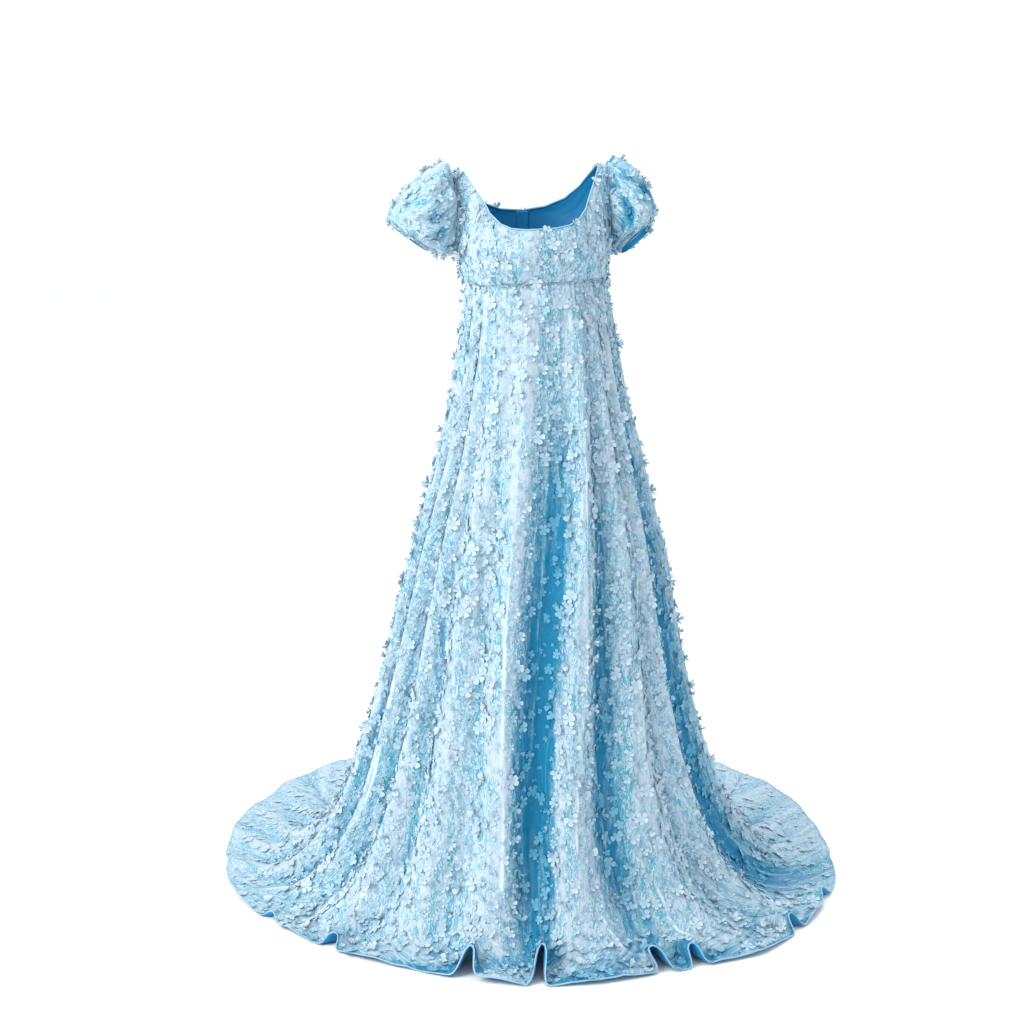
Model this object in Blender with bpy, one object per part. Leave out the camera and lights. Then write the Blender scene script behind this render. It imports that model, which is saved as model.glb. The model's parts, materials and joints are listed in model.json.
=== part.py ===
"""Regency gown: high-waisted bodice, gathered puff sleeves and a long trained skirt.

Run with: blender --background --python part.py
Units are metres and +Z is up. The front faces -Y and +X is the wearer's left.
The origin is the middle of the shoulder line, where the wearer holds the gown up.
In the tables, heights are above the floor, and azimuths run from the centre front (0)
towards the wearer's left (+90) and right (-90) to the centre back (180).
"""
import math
from collections import namedtuple

import bmesh
import bpy
from mathutils import Vector

# ---------------------------------------------------------------- driving sizes
SHOULDER_HEIGHT = 1.562      # top of the shoulder straps above the floor
WAIST_HEIGHT = 1.330         # raised seam between bodice and skirt
CLOTH = 0.0018               # dress fabric with its lining
FACING = 0.0010              # plain satin inside the hem and behind the back opening
SEAM_GAP = 0.0003            # between neighbouring pieces
CUFF_WIDTH = 0.012           # band on the arm
PLACKET_HALF_WIDTH = 0.012   # strip behind the back opening
COLUMN_WIDTH = 0.052         # of the skirt's cloth at the hem, between two mesh columns
SLEEVE_GATHERS = 14          # round each puff sleeve
COLUMNS_PER_GATHER = 4
ROW_STEPS = 2                # mesh rows for each row of the bodice tables
FRONT_COLUMNS = 6            # mesh columns on each half of the centre front
SIDE_SHARES = (0.0, 0.12, 0.26, 0.42, 0.58, 0.74, 0.88, 1.0)   # across a side panel
FLOOR_CLEARANCE = 0.0004     # of the lowest cloth above the floor
AZIMUTH_NUDGE = 0.4          # degrees, steps aside that find a surface's normal
ROW_NUDGE = 0.02             # rows of TRUNK, likewise
HOOP_NUDGE = 0.04            # hoops of the skirt, likewise

COLLECTION = "regency_gown"

# ---------------------------------------------------------------- tables
# The worn pose: how far the body is turned, tipped and shifted at each height.
Pose = namedtuple("Pose", "height turn_deg tip_deg shift_x")
POSE = (
    Pose(0.000, 0.0, 0.0, 0.004),
    Pose(0.350, 0.0, 0.0, 0.006),
    Pose(0.645, 0.0, 0.3, 0.012),
    Pose(0.954, 2.0, 1.0, 0.018),
    Pose(1.235, 6.5, 2.8, 0.014),
    Pose(1.330, 8.0, 3.3, 0.010),
    Pose(1.400, 8.0, 3.3, 0.002),
    Pose(1.700, 8.0, 3.3, 0.000),
)

# The bodice's form, from the waist seam to the shoulder line.
Trunk = namedtuple("Trunk", "height half_width front back")
TRUNK = (
    Trunk(1.330, 0.1470, 0.1245, 0.1125),
    Trunk(1.355, 0.1520, 0.1350, 0.1150),
    Trunk(1.380, 0.1560, 0.1430, 0.1180),
    Trunk(1.400, 0.1585, 0.1460, 0.1200),
    Trunk(1.425, 0.1610, 0.1430, 0.1220),
    Trunk(1.450, 0.1630, 0.1350, 0.1230),
    Trunk(1.475, 0.1645, 0.1230, 0.1220),
    Trunk(1.500, 0.1660, 0.1070, 0.1160),
    Trunk(1.520, 0.1675, 0.0890, 0.1060),
    Trunk(1.540, 0.1690, 0.0660, 0.0870),
    Trunk(1.552, 0.1700, 0.0450, 0.0630),
    Trunk(1.559, 0.1700, 0.0270, 0.0380),
    Trunk(1.562, 0.1700, -0.0050, 0.0050),
)
# Soft fullness over the bust, shaped by the princess seams.
Cup = namedtuple("Cup", "azimuth_deg height half_angle_deg half_height fullness")
CUPS = (
    Cup(-31.0, 1.398, 27.0, 0.050, 0.011),
    Cup(31.0, 1.398, 27.0, 0.050, 0.011),
)

# Side front, from the waist up: its inner edge is the princess seam and then the
# neckline, its outer edge the side seam and then the front of the armhole.
Side = namedtuple("Side", "inner_x inner_height outer_azimuth_deg outer_height")
SIDE_FRONT = (
    Side(0.0930, 1.3300, 90.0, 1.3300),
    Side(0.0940, 1.3650, 90.0, 1.3550),
    Side(0.0950, 1.4020, 90.0, 1.3800),
    Side(0.0960, 1.4400, 90.0, 1.4000),
    Side(0.0985, 1.4760, 80.0, 1.4180),
    Side(0.1060, 1.4940, 74.0, 1.4440),
    Side(0.1170, 1.5150, 70.5, 1.4780),
    Side(0.1290, 1.5370, 70.0, 1.5150),
    Side(0.1375, 1.5550, 73.0, 1.5450),
    Side(0.1410, 1.5620, 77.0, 1.5620),
)
SIDE_SEAM_ROWS = 3           # rows of these tables below the underarm point
PRINCESS_ROWS = 4            # rows of SIDE_FRONT below the neckline
# Back, from the waist up: its inner edge is the centre-back opening and then the
# back neckline; azimuths are counted from the centre back.
BACK = (
    Side(0.0000, 1.3300, 90.0, 1.3300),
    Side(0.0000, 1.3650, 90.0, 1.3550),
    Side(0.0000, 1.4020, 90.0, 1.3800),
    Side(0.0000, 1.4400, 90.0, 1.4000),
    Side(0.0000, 1.4780, 80.0, 1.4200),
    Side(0.0480, 1.4830, 73.0, 1.4480),
    Side(0.0880, 1.4980, 70.0, 1.4820),
    Side(0.1160, 1.5220, 70.0, 1.5150),
    Side(0.1340, 1.5480, 73.0, 1.5450),
    Side(0.1410, 1.5620, 77.0, 1.5620),
)
# Top edge of the centre front, from its middle to the princess seam.
Neck = namedtuple("Neck", "x height")
NECKLINE = (
    Neck(0.000, 1.4390),
    Neck(0.030, 1.4395),
    Neck(0.057, 1.4435),
    Neck(0.078, 1.4540),
    Neck(0.0985, 1.4760),
)

# Puff sleeves, from next to the armhole to the cuff. Each row is an oval ring: its
# high and low ends in the plane of the shoulders, its half depth, its middle, and how
# its front edge rises (metres of height for each metre of depth).
Ring = namedtuple("Ring", "high_x high_height low_x low_height half_depth middle_y rise")
SLEEVE_RIGHT = (
    Ring(0.178, 1.592, 0.1665, 1.3975, 0.070, 0.008, 0.00),
    Ring(0.208, 1.574, 0.1750, 1.3950, 0.088, 0.008, 0.00),
    Ring(0.244, 1.547, 0.1855, 1.3955, 0.096, 0.008, 0.00),
    Ring(0.277, 1.519, 0.1955, 1.3990, 0.093, 0.008, 0.00),
    Ring(0.294, 1.492, 0.2030, 1.4030, 0.080, 0.008, 0.00),
    Ring(0.289, 1.473, 0.2075, 1.4080, 0.062, 0.008, 0.00),
    Ring(0.276, 1.467, 0.2105, 1.4155, 0.044, 0.008, 0.00),
)
SLEEVE_LEFT = (
    Ring(0.174, 1.583, 0.1650, 1.3990, 0.070, 0.008, 0.00),
    Ring(0.207, 1.558, 0.1670, 1.3960, 0.088, 0.008, 0.00),
    Ring(0.234, 1.528, 0.1685, 1.3930, 0.096, 0.006, 0.00),
    Ring(0.251, 1.496, 0.1700, 1.3900, 0.096, 0.004, 0.10),
    Ring(0.258, 1.462, 0.1720, 1.3880, 0.087, 0.000, 0.22),
    Ring(0.254, 1.434, 0.1760, 1.3880, 0.068, -0.004, 0.35),
    Ring(0.245, 1.436, 0.1805, 1.3930, 0.047, -0.008, 0.40),
)
GATHER_DEPTHS = (0.0022, 0.0032, 0.0024, 0.0022, 0.0030, 0.0030, 0.0)
GATHER_WANDER = 0.35         # how far the gathers stray from even spacing, in radians
ARMHOLE_LEAN = 0.3           # how far the sleeve's seam edge leans to face the bodice's
UNDERARM_GATHER = 0.25       # depth of the gathers under the arm, as a share

# The skirt, from the raised seam to the hem, which lies on the floor.
Hoop = namedtuple("Hoop", "half_width front back front_height side_height back_height"
                          " ridge_share valley_share")
SKIRT = (
    Hoop(0.1470, 0.1245, 0.1125, 1.3300, 1.3300, 1.3300, 0.00, 0.00),
    Hoop(0.1590, 0.1480, 0.1350, 1.2350, 1.2350, 1.2350, 0.18, 0.22),
    Hoop(0.1800, 0.1700, 0.1600, 1.1000, 1.1000, 1.1000, 0.35, 0.42),
    Hoop(0.2120, 0.1980, 0.1950, 0.9540, 0.9540, 0.9540, 0.50, 0.62),
    Hoop(0.2540, 0.2280, 0.2400, 0.7900, 0.7900, 0.7800, 0.65, 0.80),
    Hoop(0.2860, 0.2530, 0.2800, 0.6450, 0.6400, 0.6200, 0.75, 0.92),
    Hoop(0.3210, 0.2780, 0.3250, 0.4850, 0.4800, 0.4500, 0.85, 1.00),
    Hoop(0.3570, 0.3010, 0.3800, 0.3500, 0.3450, 0.3100, 0.95, 1.00),
    Hoop(0.4030, 0.3260, 0.4500, 0.2250, 0.2150, 0.1900, 1.00, 1.00),
    Hoop(0.4580, 0.3520, 0.5300, 0.1300, 0.1150, 0.0950, 1.00, 0.85),
    Hoop(0.5200, 0.3880, 0.6400, 0.0640, 0.0500, 0.0350, 1.00, 0.45),
    Hoop(0.5830, 0.4300, 0.7900, 0.0260, 0.0180, 0.0110, 0.90, 0.12),
    Hoop(0.6450, 0.4740, 1.0000, 0.0085, 0.0065, 0.0050, 0.85, 0.00),
    Hoop(0.7050, 0.5200, 1.2200, 0.0038, 0.0038, 0.0038, 0.80, 0.00),
)
# One row a fold: where its ridge runs at the seam and at the hem, how far the ridge
# stands out at the knee and at the hem, how deep the valley after it is, and how
# narrow that valley is.
Fold = namedtuple("Fold", "seam_deg hem_deg ridge hem_ridge valley narrow")
FOLDS = (
    Fold(-171.0, -170.0, 0.016, 0.005, 0.022, 1.0),
    Fold(-157.0, -156.0, 0.020, 0.005, 0.018, 0.8),
    Fold(-143.0, -143.0, 0.014, 0.005, 0.024, 1.2),
    Fold(-129.0, -131.0, 0.018, 0.005, 0.020, 0.9),
    Fold(-115.0, -118.0, 0.015, 0.005, 0.022, 1.0),
    Fold(-101.0, -105.0, 0.020, 0.005, 0.016, 1.3),
    Fold(-88.0, -93.0, 0.013, 0.008, 0.018, 0.8),
    Fold(-76.0, -81.0, 0.020, 0.008, 0.022, 1.1),
    Fold(-63.0, -63.0, 0.017, 0.014, 0.016, 1.0),
    Fold(-50.0, -46.0, 0.012, 0.010, 0.015, 0.9),
    Fold(-35.0, -29.0, 0.014, 0.011, 0.007, 1.4),
    Fold(-14.0, -7.0, 0.020, 0.016, 0.030, 1.0),
    Fold(14.0, 9.0, 0.016, 0.013, 0.026, 1.5),
    Fold(37.0, 38.0, 0.012, 0.010, 0.008, 1.2),
    Fold(56.0, 57.0, 0.018, 0.014, 0.036, 0.9),
    Fold(86.0, 93.0, 0.018, 0.008, 0.020, 1.0),
    Fold(100.0, 106.0, 0.016, 0.005, 0.022, 1.2),
    Fold(114.0, 119.0, 0.019, 0.005, 0.018, 0.9),
    Fold(128.0, 132.0, 0.014, 0.005, 0.024, 1.0),
    Fold(142.0, 144.0, 0.019, 0.005, 0.019, 1.1),
    Fold(157.0, 157.0, 0.014, 0.005, 0.021, 0.9),
    Fold(171.0, 170.0, 0.016, 0.005, 0.022, 1.0),
)
# How far the hem strays outwards from its oval on the floor.
Stray = namedtuple("Stray", "hem_deg reach")
STRAYS = (
    Stray(-180.0, 0.000),
    Stray(-62.0, 0.006),
    Stray(-45.0, -0.010),
    Stray(-20.0, -0.028),
    Stray(-5.0, -0.006),
    Stray(10.0, 0.006),
    Stray(20.0, -0.006),
    Stray(38.0, 0.038),
    Stray(64.0, 0.016),
    Stray(90.0, -0.008),
    Stray(180.0, 0.000),
)
STRAY_HOOPS = 4              # lowest hoops that stray, growing towards the hem
# Short arches where the hem is pushed up off the floor.
Arch = namedtuple("Arch", "hem_deg half_width_deg height length_in_hoops")
ARCHES = (
    Arch(-78.0, 3.0, 0.014, 2.0),
    Arch(-52.0, 3.0, 0.016, 2.0),
    Arch(-37.0, 2.6, 0.022, 1.6),
    Arch(-11.5, 2.9, 0.030, 1.8),
    Arch(2.0, 2.4, 0.026, 2.6),
    Arch(22.0, 2.6, 0.030, 1.9),
    Arch(28.0, 2.6, 0.026, 1.9),
    Arch(48.5, 2.6, 0.022, 2.2),
    Arch(62.0, 2.8, 0.020, 1.6),
    Arch(80.0, 3.0, 0.014, 2.0),
)
# The gores, by the hem azimuths of their seams, which run along valleys.
Gore = namedtuple("Gore", "name start_deg end_deg faced")
GORES = (
    Gore("skirt_back_right", -180.0, -124.5, None),
    Gore("skirt_side_right", -124.5, -54.5, "hem_facing_right"),
    Gore("skirt_front", -54.5, 47.5, "hem_facing_front"),
    Gore("skirt_side_left", 47.5, 125.5, "hem_facing_left"),
    Gore("skirt_back_left", 125.5, 180.0, None),
)
PLACKET_HEM_DEG = 175.0      # hem azimuth of the skirt columns at the placket's edges
PLACKET_SKIRT_HOOPS = 2      # how far down the skirt the opening runs

# ---------------------------------------------------------------- materials
Finish = namedtuple("Finish", "color roughness metallic")
SATIN = Finish((0.46, 0.72, 0.87, 1.0), 0.38, 0.0)
PLAIN_SATIN = Finish((0.13, 0.50, 0.76, 1.0), 0.30, 0.0)


# ---------------------------------------------------------------- small maths
def catmull(a, b, c, d, t):
    """A smooth value between b and c."""
    return b + 0.5 * t * (c - a + t * (2 * a - 5 * b + 4 * c - d + t * (3 * (b - c) + d - a)))


def table_at(rows, position):
    """A table's numbers, read smoothly at a fractional row."""
    index = min(max(int(position), 0), len(rows) - 2)
    t = position - index
    near = [rows[min(max(index + step, 0), len(rows) - 1)] for step in (-1, 0, 1, 2)]
    return [catmull(*values, t) for values in zip(*near)]


def between_rows(rows, position):
    """A table's numbers, read in straight lines at a fractional row."""
    index = min(int(position), len(rows) - 2)
    return [mix(low, high, position - index) for low, high in zip(rows[index], rows[index + 1])]


def column_at(rows, key, column, value):
    """One column of a table, read in straight lines by another column."""
    for low, high in zip(rows, rows[1:]):
        if value <= getattr(high, key):
            break
    share = (value - getattr(low, key)) / (getattr(high, key) - getattr(low, key))
    share = min(max(share, 0.0), 1.0)
    return getattr(low, column) + share * (getattr(high, column) - getattr(low, column))


def mix(a, b, t):
    """A value a share of the way from a to b."""
    return a + (b - a) * t


def ease(t):
    """A smooth step from 0 to 1."""
    t = min(max(t, 0.0), 1.0)
    return t * t * (3 - 2 * t)


def posed(x, y, height):
    """Turn, tip and shift a point of the upright form into the worn pose."""
    turn = math.radians(column_at(POSE, "height", "turn_deg", height))
    tip = math.radians(column_at(POSE, "height", "tip_deg", height))
    shift = column_at(POSE, "height", "shift_x", height)
    turned_x = x * math.cos(turn) - y * math.sin(turn)
    turned_y = x * math.sin(turn) + y * math.cos(turn)
    return Vector((turned_x + shift, turned_y, height + turned_x * math.sin(tip)))


def normal_of(surface, a, b, step_a, step_b):
    """Outward normal of a surface whose first parameter runs round and second runs up."""
    along_a = surface(a + step_a, b) - surface(a - step_a, b)
    along_b = surface(a, b + step_b) - surface(a, b - step_b)
    return along_a.cross(along_b).normalized()


# ---------------------------------------------------------------- bodice
def trunk_row(height):
    """Position of a height in the TRUNK table."""
    for index, (low, high) in enumerate(zip(TRUNK, TRUNK[1:])):
        if height <= high.height:
            break
    return index + (height - low.height) / (high.height - low.height)


def trunk(azimuth_deg, row):
    """A point of the bodice's form."""
    height, half_width, front, back = table_at(TRUNK, row)
    azimuth = math.radians(azimuth_deg)
    middle = (back - front) / 2
    depth = (back + front) / 2
    for cup in CUPS:
        aside = ((azimuth_deg - cup.azimuth_deg) / cup.half_angle_deg) ** 2
        above = ((height - cup.height) / cup.half_height) ** 2
        fullness = cup.fullness * math.exp(-aside - above)
        half_width += fullness * abs(math.sin(azimuth))
        depth += fullness * math.cos(azimuth)
    x = half_width * math.sin(azimuth)
    y = middle - depth * math.cos(azimuth)
    return posed(x, y, height)


def azimuth_of_x(x, row, at_back):
    """Azimuth of a point of the bodice's form, by its distance from the middle."""
    half_width = table_at(TRUNK, row)[1]
    azimuth = math.degrees(math.asin(min(x / half_width, 1.0)))
    return 180.0 - azimuth if at_back else azimuth


def bodice_point(azimuth_deg, height):
    """A point of the bodice and the outward normal there, straight up on the shoulder."""
    top_row = len(TRUNK) - 1
    row = min(trunk_row(height), top_row)
    point = trunk(azimuth_deg, row)
    if row > top_row - ROW_NUDGE:
        return point, Vector((0.0, 0.0, 1.0))
    return point, normal_of(trunk, azimuth_deg, row, AZIMUTH_NUDGE, ROW_NUDGE)


def side_grid(table, at_back, mirrored, shares, steps):
    """Rows of (point, normal) across a side front or back, from waist to shoulder."""
    grid = []
    for step in range((len(table) - 1) * steps + 1):
        inner_x, inner_height, outer_deg, outer_height = between_rows(table, step / steps)
        inner_deg = azimuth_of_x(inner_x, trunk_row(inner_height), at_back)
        if at_back:
            outer_deg = 180.0 - outer_deg
        row = []
        for share in shares:
            azimuth = mix(inner_deg, outer_deg, share)
            height = mix(inner_height, outer_height, share)
            row.append(bodice_point(-azimuth if mirrored else azimuth, height))
        grid.append(row)
    return grid


def centre_grid(columns, steps):
    """Rows of (point, normal) across the centre front."""
    grid = []
    top = NECKLINE[-1].height
    for step in range(PRINCESS_ROWS * steps + 1):
        seam_x, seam_height, _, _ = between_rows(SIDE_FRONT, step / steps)
        share = (seam_height - WAIST_HEIGHT) / (top - WAIST_HEIGHT)
        seam_deg = azimuth_of_x(seam_x, trunk_row(seam_height), False)
        row = []
        for column in range(-columns, columns + 1):
            across = column / columns
            edge = column_at(NECKLINE, "x", "height", abs(across) * NECKLINE[-1].x)
            height = mix(WAIST_HEIGHT, edge, share)
            row.append(bodice_point(across * seam_deg, height))
        grid.append(row)
    return grid


# ---------------------------------------------------------------- sleeves
def polyline_at(points, share):
    """A point and its index at a share of a polyline's length."""
    lengths = [(b[0] - a[0]).length for a, b in zip(points, points[1:])]
    left = share * sum(lengths)
    for index, length in enumerate(lengths):
        if left <= length or index == len(lengths) - 1:
            break
        left -= length
    t = min(left / length, 1.0)
    low, high = points[index], points[index + 1]
    return [mix(a, b, t) for a, b in zip(low, high)]


def armhole_edge(grid):
    """The armhole side of a side front or back: (edge, inward neighbour) from the top."""
    first = SIDE_SEAM_ROWS * ROW_STEPS
    return [(row[-1][0], row[-2][0], row[-1][1]) for row in reversed(grid[first:])]


def sleeve_ring(ring, side, angle, gather):
    """A point of a sleeve's oval ring; angle 0 is its high end, 90 its front."""
    high = Vector((ring.high_x, 0.0, ring.high_height))
    low = Vector((ring.low_x, 0.0, ring.low_height))
    centre = (high + low) / 2
    arm = (high - low) / 2
    forward = ring.half_depth * math.sin(angle)
    offset = arm * math.cos(angle) + Vector((0.0, -forward, forward * ring.rise))
    offset *= 1 + gather / offset.length
    spot = centre + offset
    return posed(side * spot.x, ring.middle_y + spot.y, spot.z)


def gather_offset(angle, depth):
    """Uneven gathers round a sleeve, shallow under the arm."""
    wander = GATHER_WANDER * (math.sin(2 * angle + 0.7) + 0.6 * math.sin(3 * angle + 2.1))
    fullness = mix(UNDERARM_GATHER, 1.0, 0.5 + 0.5 * math.cos(angle))
    return depth * fullness * math.cos(SLEEVE_GATHERS * angle + wander)


def sleeve_grid(table, side, front_edge, back_edge):
    """Rings of (point, normal) from the armhole to the cuff, and the cuff's two rings."""
    columns = SLEEVE_GATHERS * COLUMNS_PER_GATHER
    rings = []
    for row, depth in zip(table, GATHER_DEPTHS):
        angles = [2 * math.pi * column / columns for column in range(columns)]
        rings.append([sleeve_ring(row, side, angle, gather_offset(angle, depth))
                      for angle in angles])
    armhole = []
    edge_normals = []
    for column in range(columns):
        turn = column / columns
        if turn <= 0.5:
            edge, inward, normal = polyline_at(front_edge, 2 * turn)
        else:
            edge, inward, normal = polyline_at(back_edge, 2 - 2 * turn)
        armhole.append(edge + (edge - inward).normalized() * SEAM_GAP)
        edge_normals.append(normal)
    rings.insert(0, armhole)
    normals = [ring_normals(rings, index, side) for index in range(len(rings))]
    normals[0] = [(own + edge * ARMHOLE_LEAN).normalized()
                  for own, edge in zip(normals[0], edge_normals)]
    return [list(zip(ring, normal)) for ring, normal in zip(rings, normals)]


def ring_normals(rings, index, side):
    """Outward normals along one ring of a sleeve on the wearer's left (1) or right (-1)."""
    ring = rings[index]
    before = rings[max(index - 1, 0)]
    after = rings[min(index + 1, len(rings) - 1)]
    normals = []
    for column in range(len(ring)):
        around = ring[(column + 1) % len(ring)] - ring[column - 1]
        along = after[column] - before[column]
        normals.append(around.cross(along).normalized() * side)
    return normals


def cuff_grid(sleeve):
    """Two rings of (point, normal) that carry on from the sleeve's last ring."""
    last = [point for point, _ in sleeve[-1]]
    centre = sum(last, Vector()) / len(last)
    quarter = len(last) // 4
    down_arm = (last[0] - centre).cross(last[quarter] - centre).normalized()
    if down_arm.z > 0:
        down_arm.negate()
    grid = []
    for share in (0.0, 1.0):
        offset = down_arm * (SEAM_GAP + share * CUFF_WIDTH)
        grid.append([(point + offset, flat_normal(point, centre, down_arm)) for point in last])
    return grid


def flat_normal(point, centre, axis):
    """Direction away from an axis."""
    away = point - centre
    return (away - axis * away.dot(axis)).normalized()


# ---------------------------------------------------------------- skirt
def fold_at(hem_deg):
    """The folds on both sides of a hem azimuth and the share of the way between them."""
    if hem_deg < FOLDS[0].hem_deg:
        hem_deg += 360.0
    for low, high in zip(FOLDS, FOLDS[1:] + (wrapped(FOLDS[0]),)):
        if hem_deg <= high.hem_deg:
            break
    return low, high, (hem_deg - low.hem_deg) / (high.hem_deg - low.hem_deg)


def wrapped(fold):
    """The same fold, one turn further on."""
    return fold._replace(seam_deg=fold.seam_deg + 360.0, hem_deg=fold.hem_deg + 360.0)


def skirt_form(azimuth_deg, hoop):
    """The skirt's smooth form, before its folds, as an upright point."""
    half_width, front, back, front_h, side_h, back_h, _, _ = table_at(SKIRT, hoop)
    azimuth = math.radians(azimuth_deg)
    ahead = math.cos(azimuth)
    height = mix(side_h, front_h if ahead > 0 else back_h, ahead * ahead)
    x = half_width * math.sin(azimuth)
    y = (back - front) / 2 - (back + front) / 2 * ahead
    return Vector((x, y, height))


def low_down(hoop):
    """0 on the hanging skirt, 1 at the hem."""
    return ease(1 - (len(SKIRT) - 1 - hoop) / STRAY_HOOPS)


def fold_offset(hem_deg, hoop):
    """How far the cloth stands out from the smooth form."""
    low, high, share = fold_at(hem_deg)
    ridge_share, valley_share = table_at(SKIRT, hoop)[6:]
    valley = (0.5 - 0.5 * math.cos(2 * math.pi * share)) ** low.narrow
    ridges = [mix(fold.ridge, fold.hem_ridge, low_down(hoop)) for fold in (low, high)]
    ridge = mix(*ridges, ease(share)) * ridge_share
    offset = ridge * (1 - valley) - low.valley * valley_share * valley
    for arch in ARCHES:
        aside = (hem_deg - arch.hem_deg) / arch.half_width_deg
        up = (hoop - (len(SKIRT) - 1)) / arch.length_in_hoops + 1
        if abs(aside) < 1 and up > 0:
            offset += arch.height * math.cos(aside * math.pi / 2) ** 2 * ease(up)
    return offset


def skirt_surface(hem_deg, up):
    """A point of the skirt's outer face; up is minus the hoop, so that it runs upwards."""
    hoop = min(max(-up, 0.0), len(SKIRT) - 1.0)
    low, high, share = fold_at(hem_deg)
    seam_deg = mix(low.seam_deg, high.seam_deg, share)
    azimuth = mix(seam_deg, mix(low.hem_deg, high.hem_deg, share),
                  ease(hoop / (len(SKIRT) - 1)))
    outward = normal_of(lambda a, b: skirt_form(a, -b), azimuth, -hoop,
                        AZIMUTH_NUDGE, HOOP_NUDGE)
    spot = skirt_form(azimuth, hoop) + outward * fold_offset(hem_deg, hoop)
    stray = column_at(STRAYS, "hem_deg", "reach", hem_deg) * low_down(hoop)
    away = math.radians(azimuth)
    spot += Vector((math.sin(away), -math.cos(away), 0.0)) * stray
    spot.z = max(spot.z, SKIRT[-1].side_height)
    return posed(*spot)


def hem_columns(gore):
    """Hem azimuths of a gore's mesh columns: even steps of cloth, and the arches' tops."""
    stops = {gore.start_deg, gore.end_deg}
    stops.update(fold.hem_deg for fold in FOLDS)
    stops.update((-PLACKET_HEM_DEG, PLACKET_HEM_DEG))
    for arch in ARCHES:
        for share in (-1.0, -0.5, 0.0, 0.5, 1.0):
            stops.add(arch.hem_deg + share * arch.half_width_deg)
    stops = sorted(stop for stop in stops if gore.start_deg <= stop <= gore.end_deg)
    columns = [stops[0]]
    for stop in stops[1:]:
        here = skirt_surface(stop, 1 - len(SKIRT))
        there = skirt_surface(columns[-1], 1 - len(SKIRT))
        parts = max(1, round((here - there).length / COLUMN_WIDTH))
        start = columns[-1]
        columns.extend(mix(start, stop, part / parts) for part in range(1, parts + 1))
    return columns


def skirt_grid(columns):
    """Rows of (point, normal) from the waist seam down to the hem."""
    grid = []
    for hoop in range(len(SKIRT)):
        grid.append([(skirt_surface(hem_deg, -hoop),
                      normal_of(skirt_surface, hem_deg, -hoop, AZIMUTH_NUDGE, HOOP_NUDGE))
                     for hem_deg in columns])
    return grid


# ---------------------------------------------------------------- making solids
def trimmed(grid, round_tube=False, ends=(True, True)):
    """Pull a piece's edges back by half the seam gap."""
    points = [[point.copy() for point, _ in row] for row in grid]
    pulls = []
    if not round_tube:
        for row in points:
            pulls.append((row[0], row[1]))
            pulls.append((row[-1], row[-2]))
    for column in range(len(points[0])):
        if ends[0]:
            pulls.append((points[0][column], points[1][column]))
        if ends[1]:
            pulls.append((points[-1][column], points[-2][column]))
    steps = [(edge, (inside - edge).normalized() * SEAM_GAP / 2) for edge, inside in pulls]
    for edge, step in steps:
        edge += step
    return [[(point, row[column][1]) for column, point in enumerate(line)]
            for line, row in zip(points, grid)]


def sunk(grid, depth):
    """The same rows, moved in along their normals."""
    return [[(point - normal * depth, normal) for point, normal in row] for row in grid]


def cloth_piece(name, finish, grid, thickness, round_tube=False):
    """Make a closed wall: an outer sheet through the grid, an inner one, and its rim.

    The inner sheet follows the grid's own normals, which neighbouring pieces share at
    their seams, so that their walls meet there without crossing.
    """
    mesh = bmesh.new()
    sheets = []
    for depth in (0.0, thickness):
        sheet = []
        for row in grid:
            line = []
            for point, normal in row:
                spot = point - normal * depth
                spot.z = max(spot.z, FLOOR_CLEARANCE) - SHOULDER_HEIGHT
                line.append(mesh.verts.new(spot))
            sheet.append(line)
        sheets.append(sheet)
    outer, inner = sheets
    rows, columns = len(grid), len(grid[0])
    across = columns if round_tube else columns - 1
    for row in range(rows - 1):
        for column in range(across):
            beside = (column + 1) % columns
            for sheet in (outer, inner):
                corners = (sheet[row][column], sheet[row + 1][column],
                           sheet[row + 1][beside], sheet[row][beside])
                mesh.faces.new((corners[0], corners[1], corners[2]))
                mesh.faces.new((corners[0], corners[2], corners[3]))
    for column in range(across):
        beside = (column + 1) % columns
        for row in (0, rows - 1):
            mesh.faces.new((outer[row][column], outer[row][beside],
                            inner[row][beside], inner[row][column]))
    if not round_tube:
        for row in range(rows - 1):
            for column in (0, columns - 1):
                mesh.faces.new((outer[row][column], outer[row + 1][column],
                                inner[row + 1][column], inner[row][column]))
    bmesh.ops.recalc_face_normals(mesh, faces=mesh.faces)
    data = bpy.data.meshes.new(name)
    mesh.to_mesh(data)
    mesh.free()
    data.shade_smooth()
    data.materials.append(material(name, finish))
    piece = bpy.data.objects.new(name, data)
    bpy.data.collections[COLLECTION].objects.link(piece)
    return piece


def material(name, finish):
    """A plain cloth material."""
    cloth = bpy.data.materials.new(name)
    cloth.use_nodes = True
    shader = cloth.node_tree.nodes["Principled BSDF"]
    shader.inputs["Base Color"].default_value = finish.color
    shader.inputs["Roughness"].default_value = finish.roughness
    shader.inputs["Metallic"].default_value = finish.metallic
    return cloth


# ---------------------------------------------------------------- the gown
def back_shares():
    """Shares across a back, the first strip as wide as the placket behind it."""
    strip = math.degrees(math.asin(PLACKET_HALF_WIDTH / TRUNK[0].half_width)) / 90.0
    return (0.0, strip) + SIDE_SHARES[2:]


def make_bodice():
    """The five bodice pieces; returns the armhole edges for the sleeves."""
    centre = centre_grid(FRONT_COLUMNS, ROW_STEPS)
    cloth_piece("bodice_front_centre", SATIN, trimmed(centre), CLOTH)
    edges = {}
    for side, mirrored in (("right", True), ("left", False)):
        front = side_grid(SIDE_FRONT, False, mirrored, SIDE_SHARES, ROW_STEPS)
        back = side_grid(BACK, True, mirrored, back_shares(), ROW_STEPS)
        edges[side] = (armhole_edge(front), armhole_edge(back))
        cloth_piece("bodice_front_side_" + side, SATIN, trimmed(front), CLOTH)
        cloth_piece("bodice_back_" + side, SATIN, trimmed(back), CLOTH)
    return edges


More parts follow.
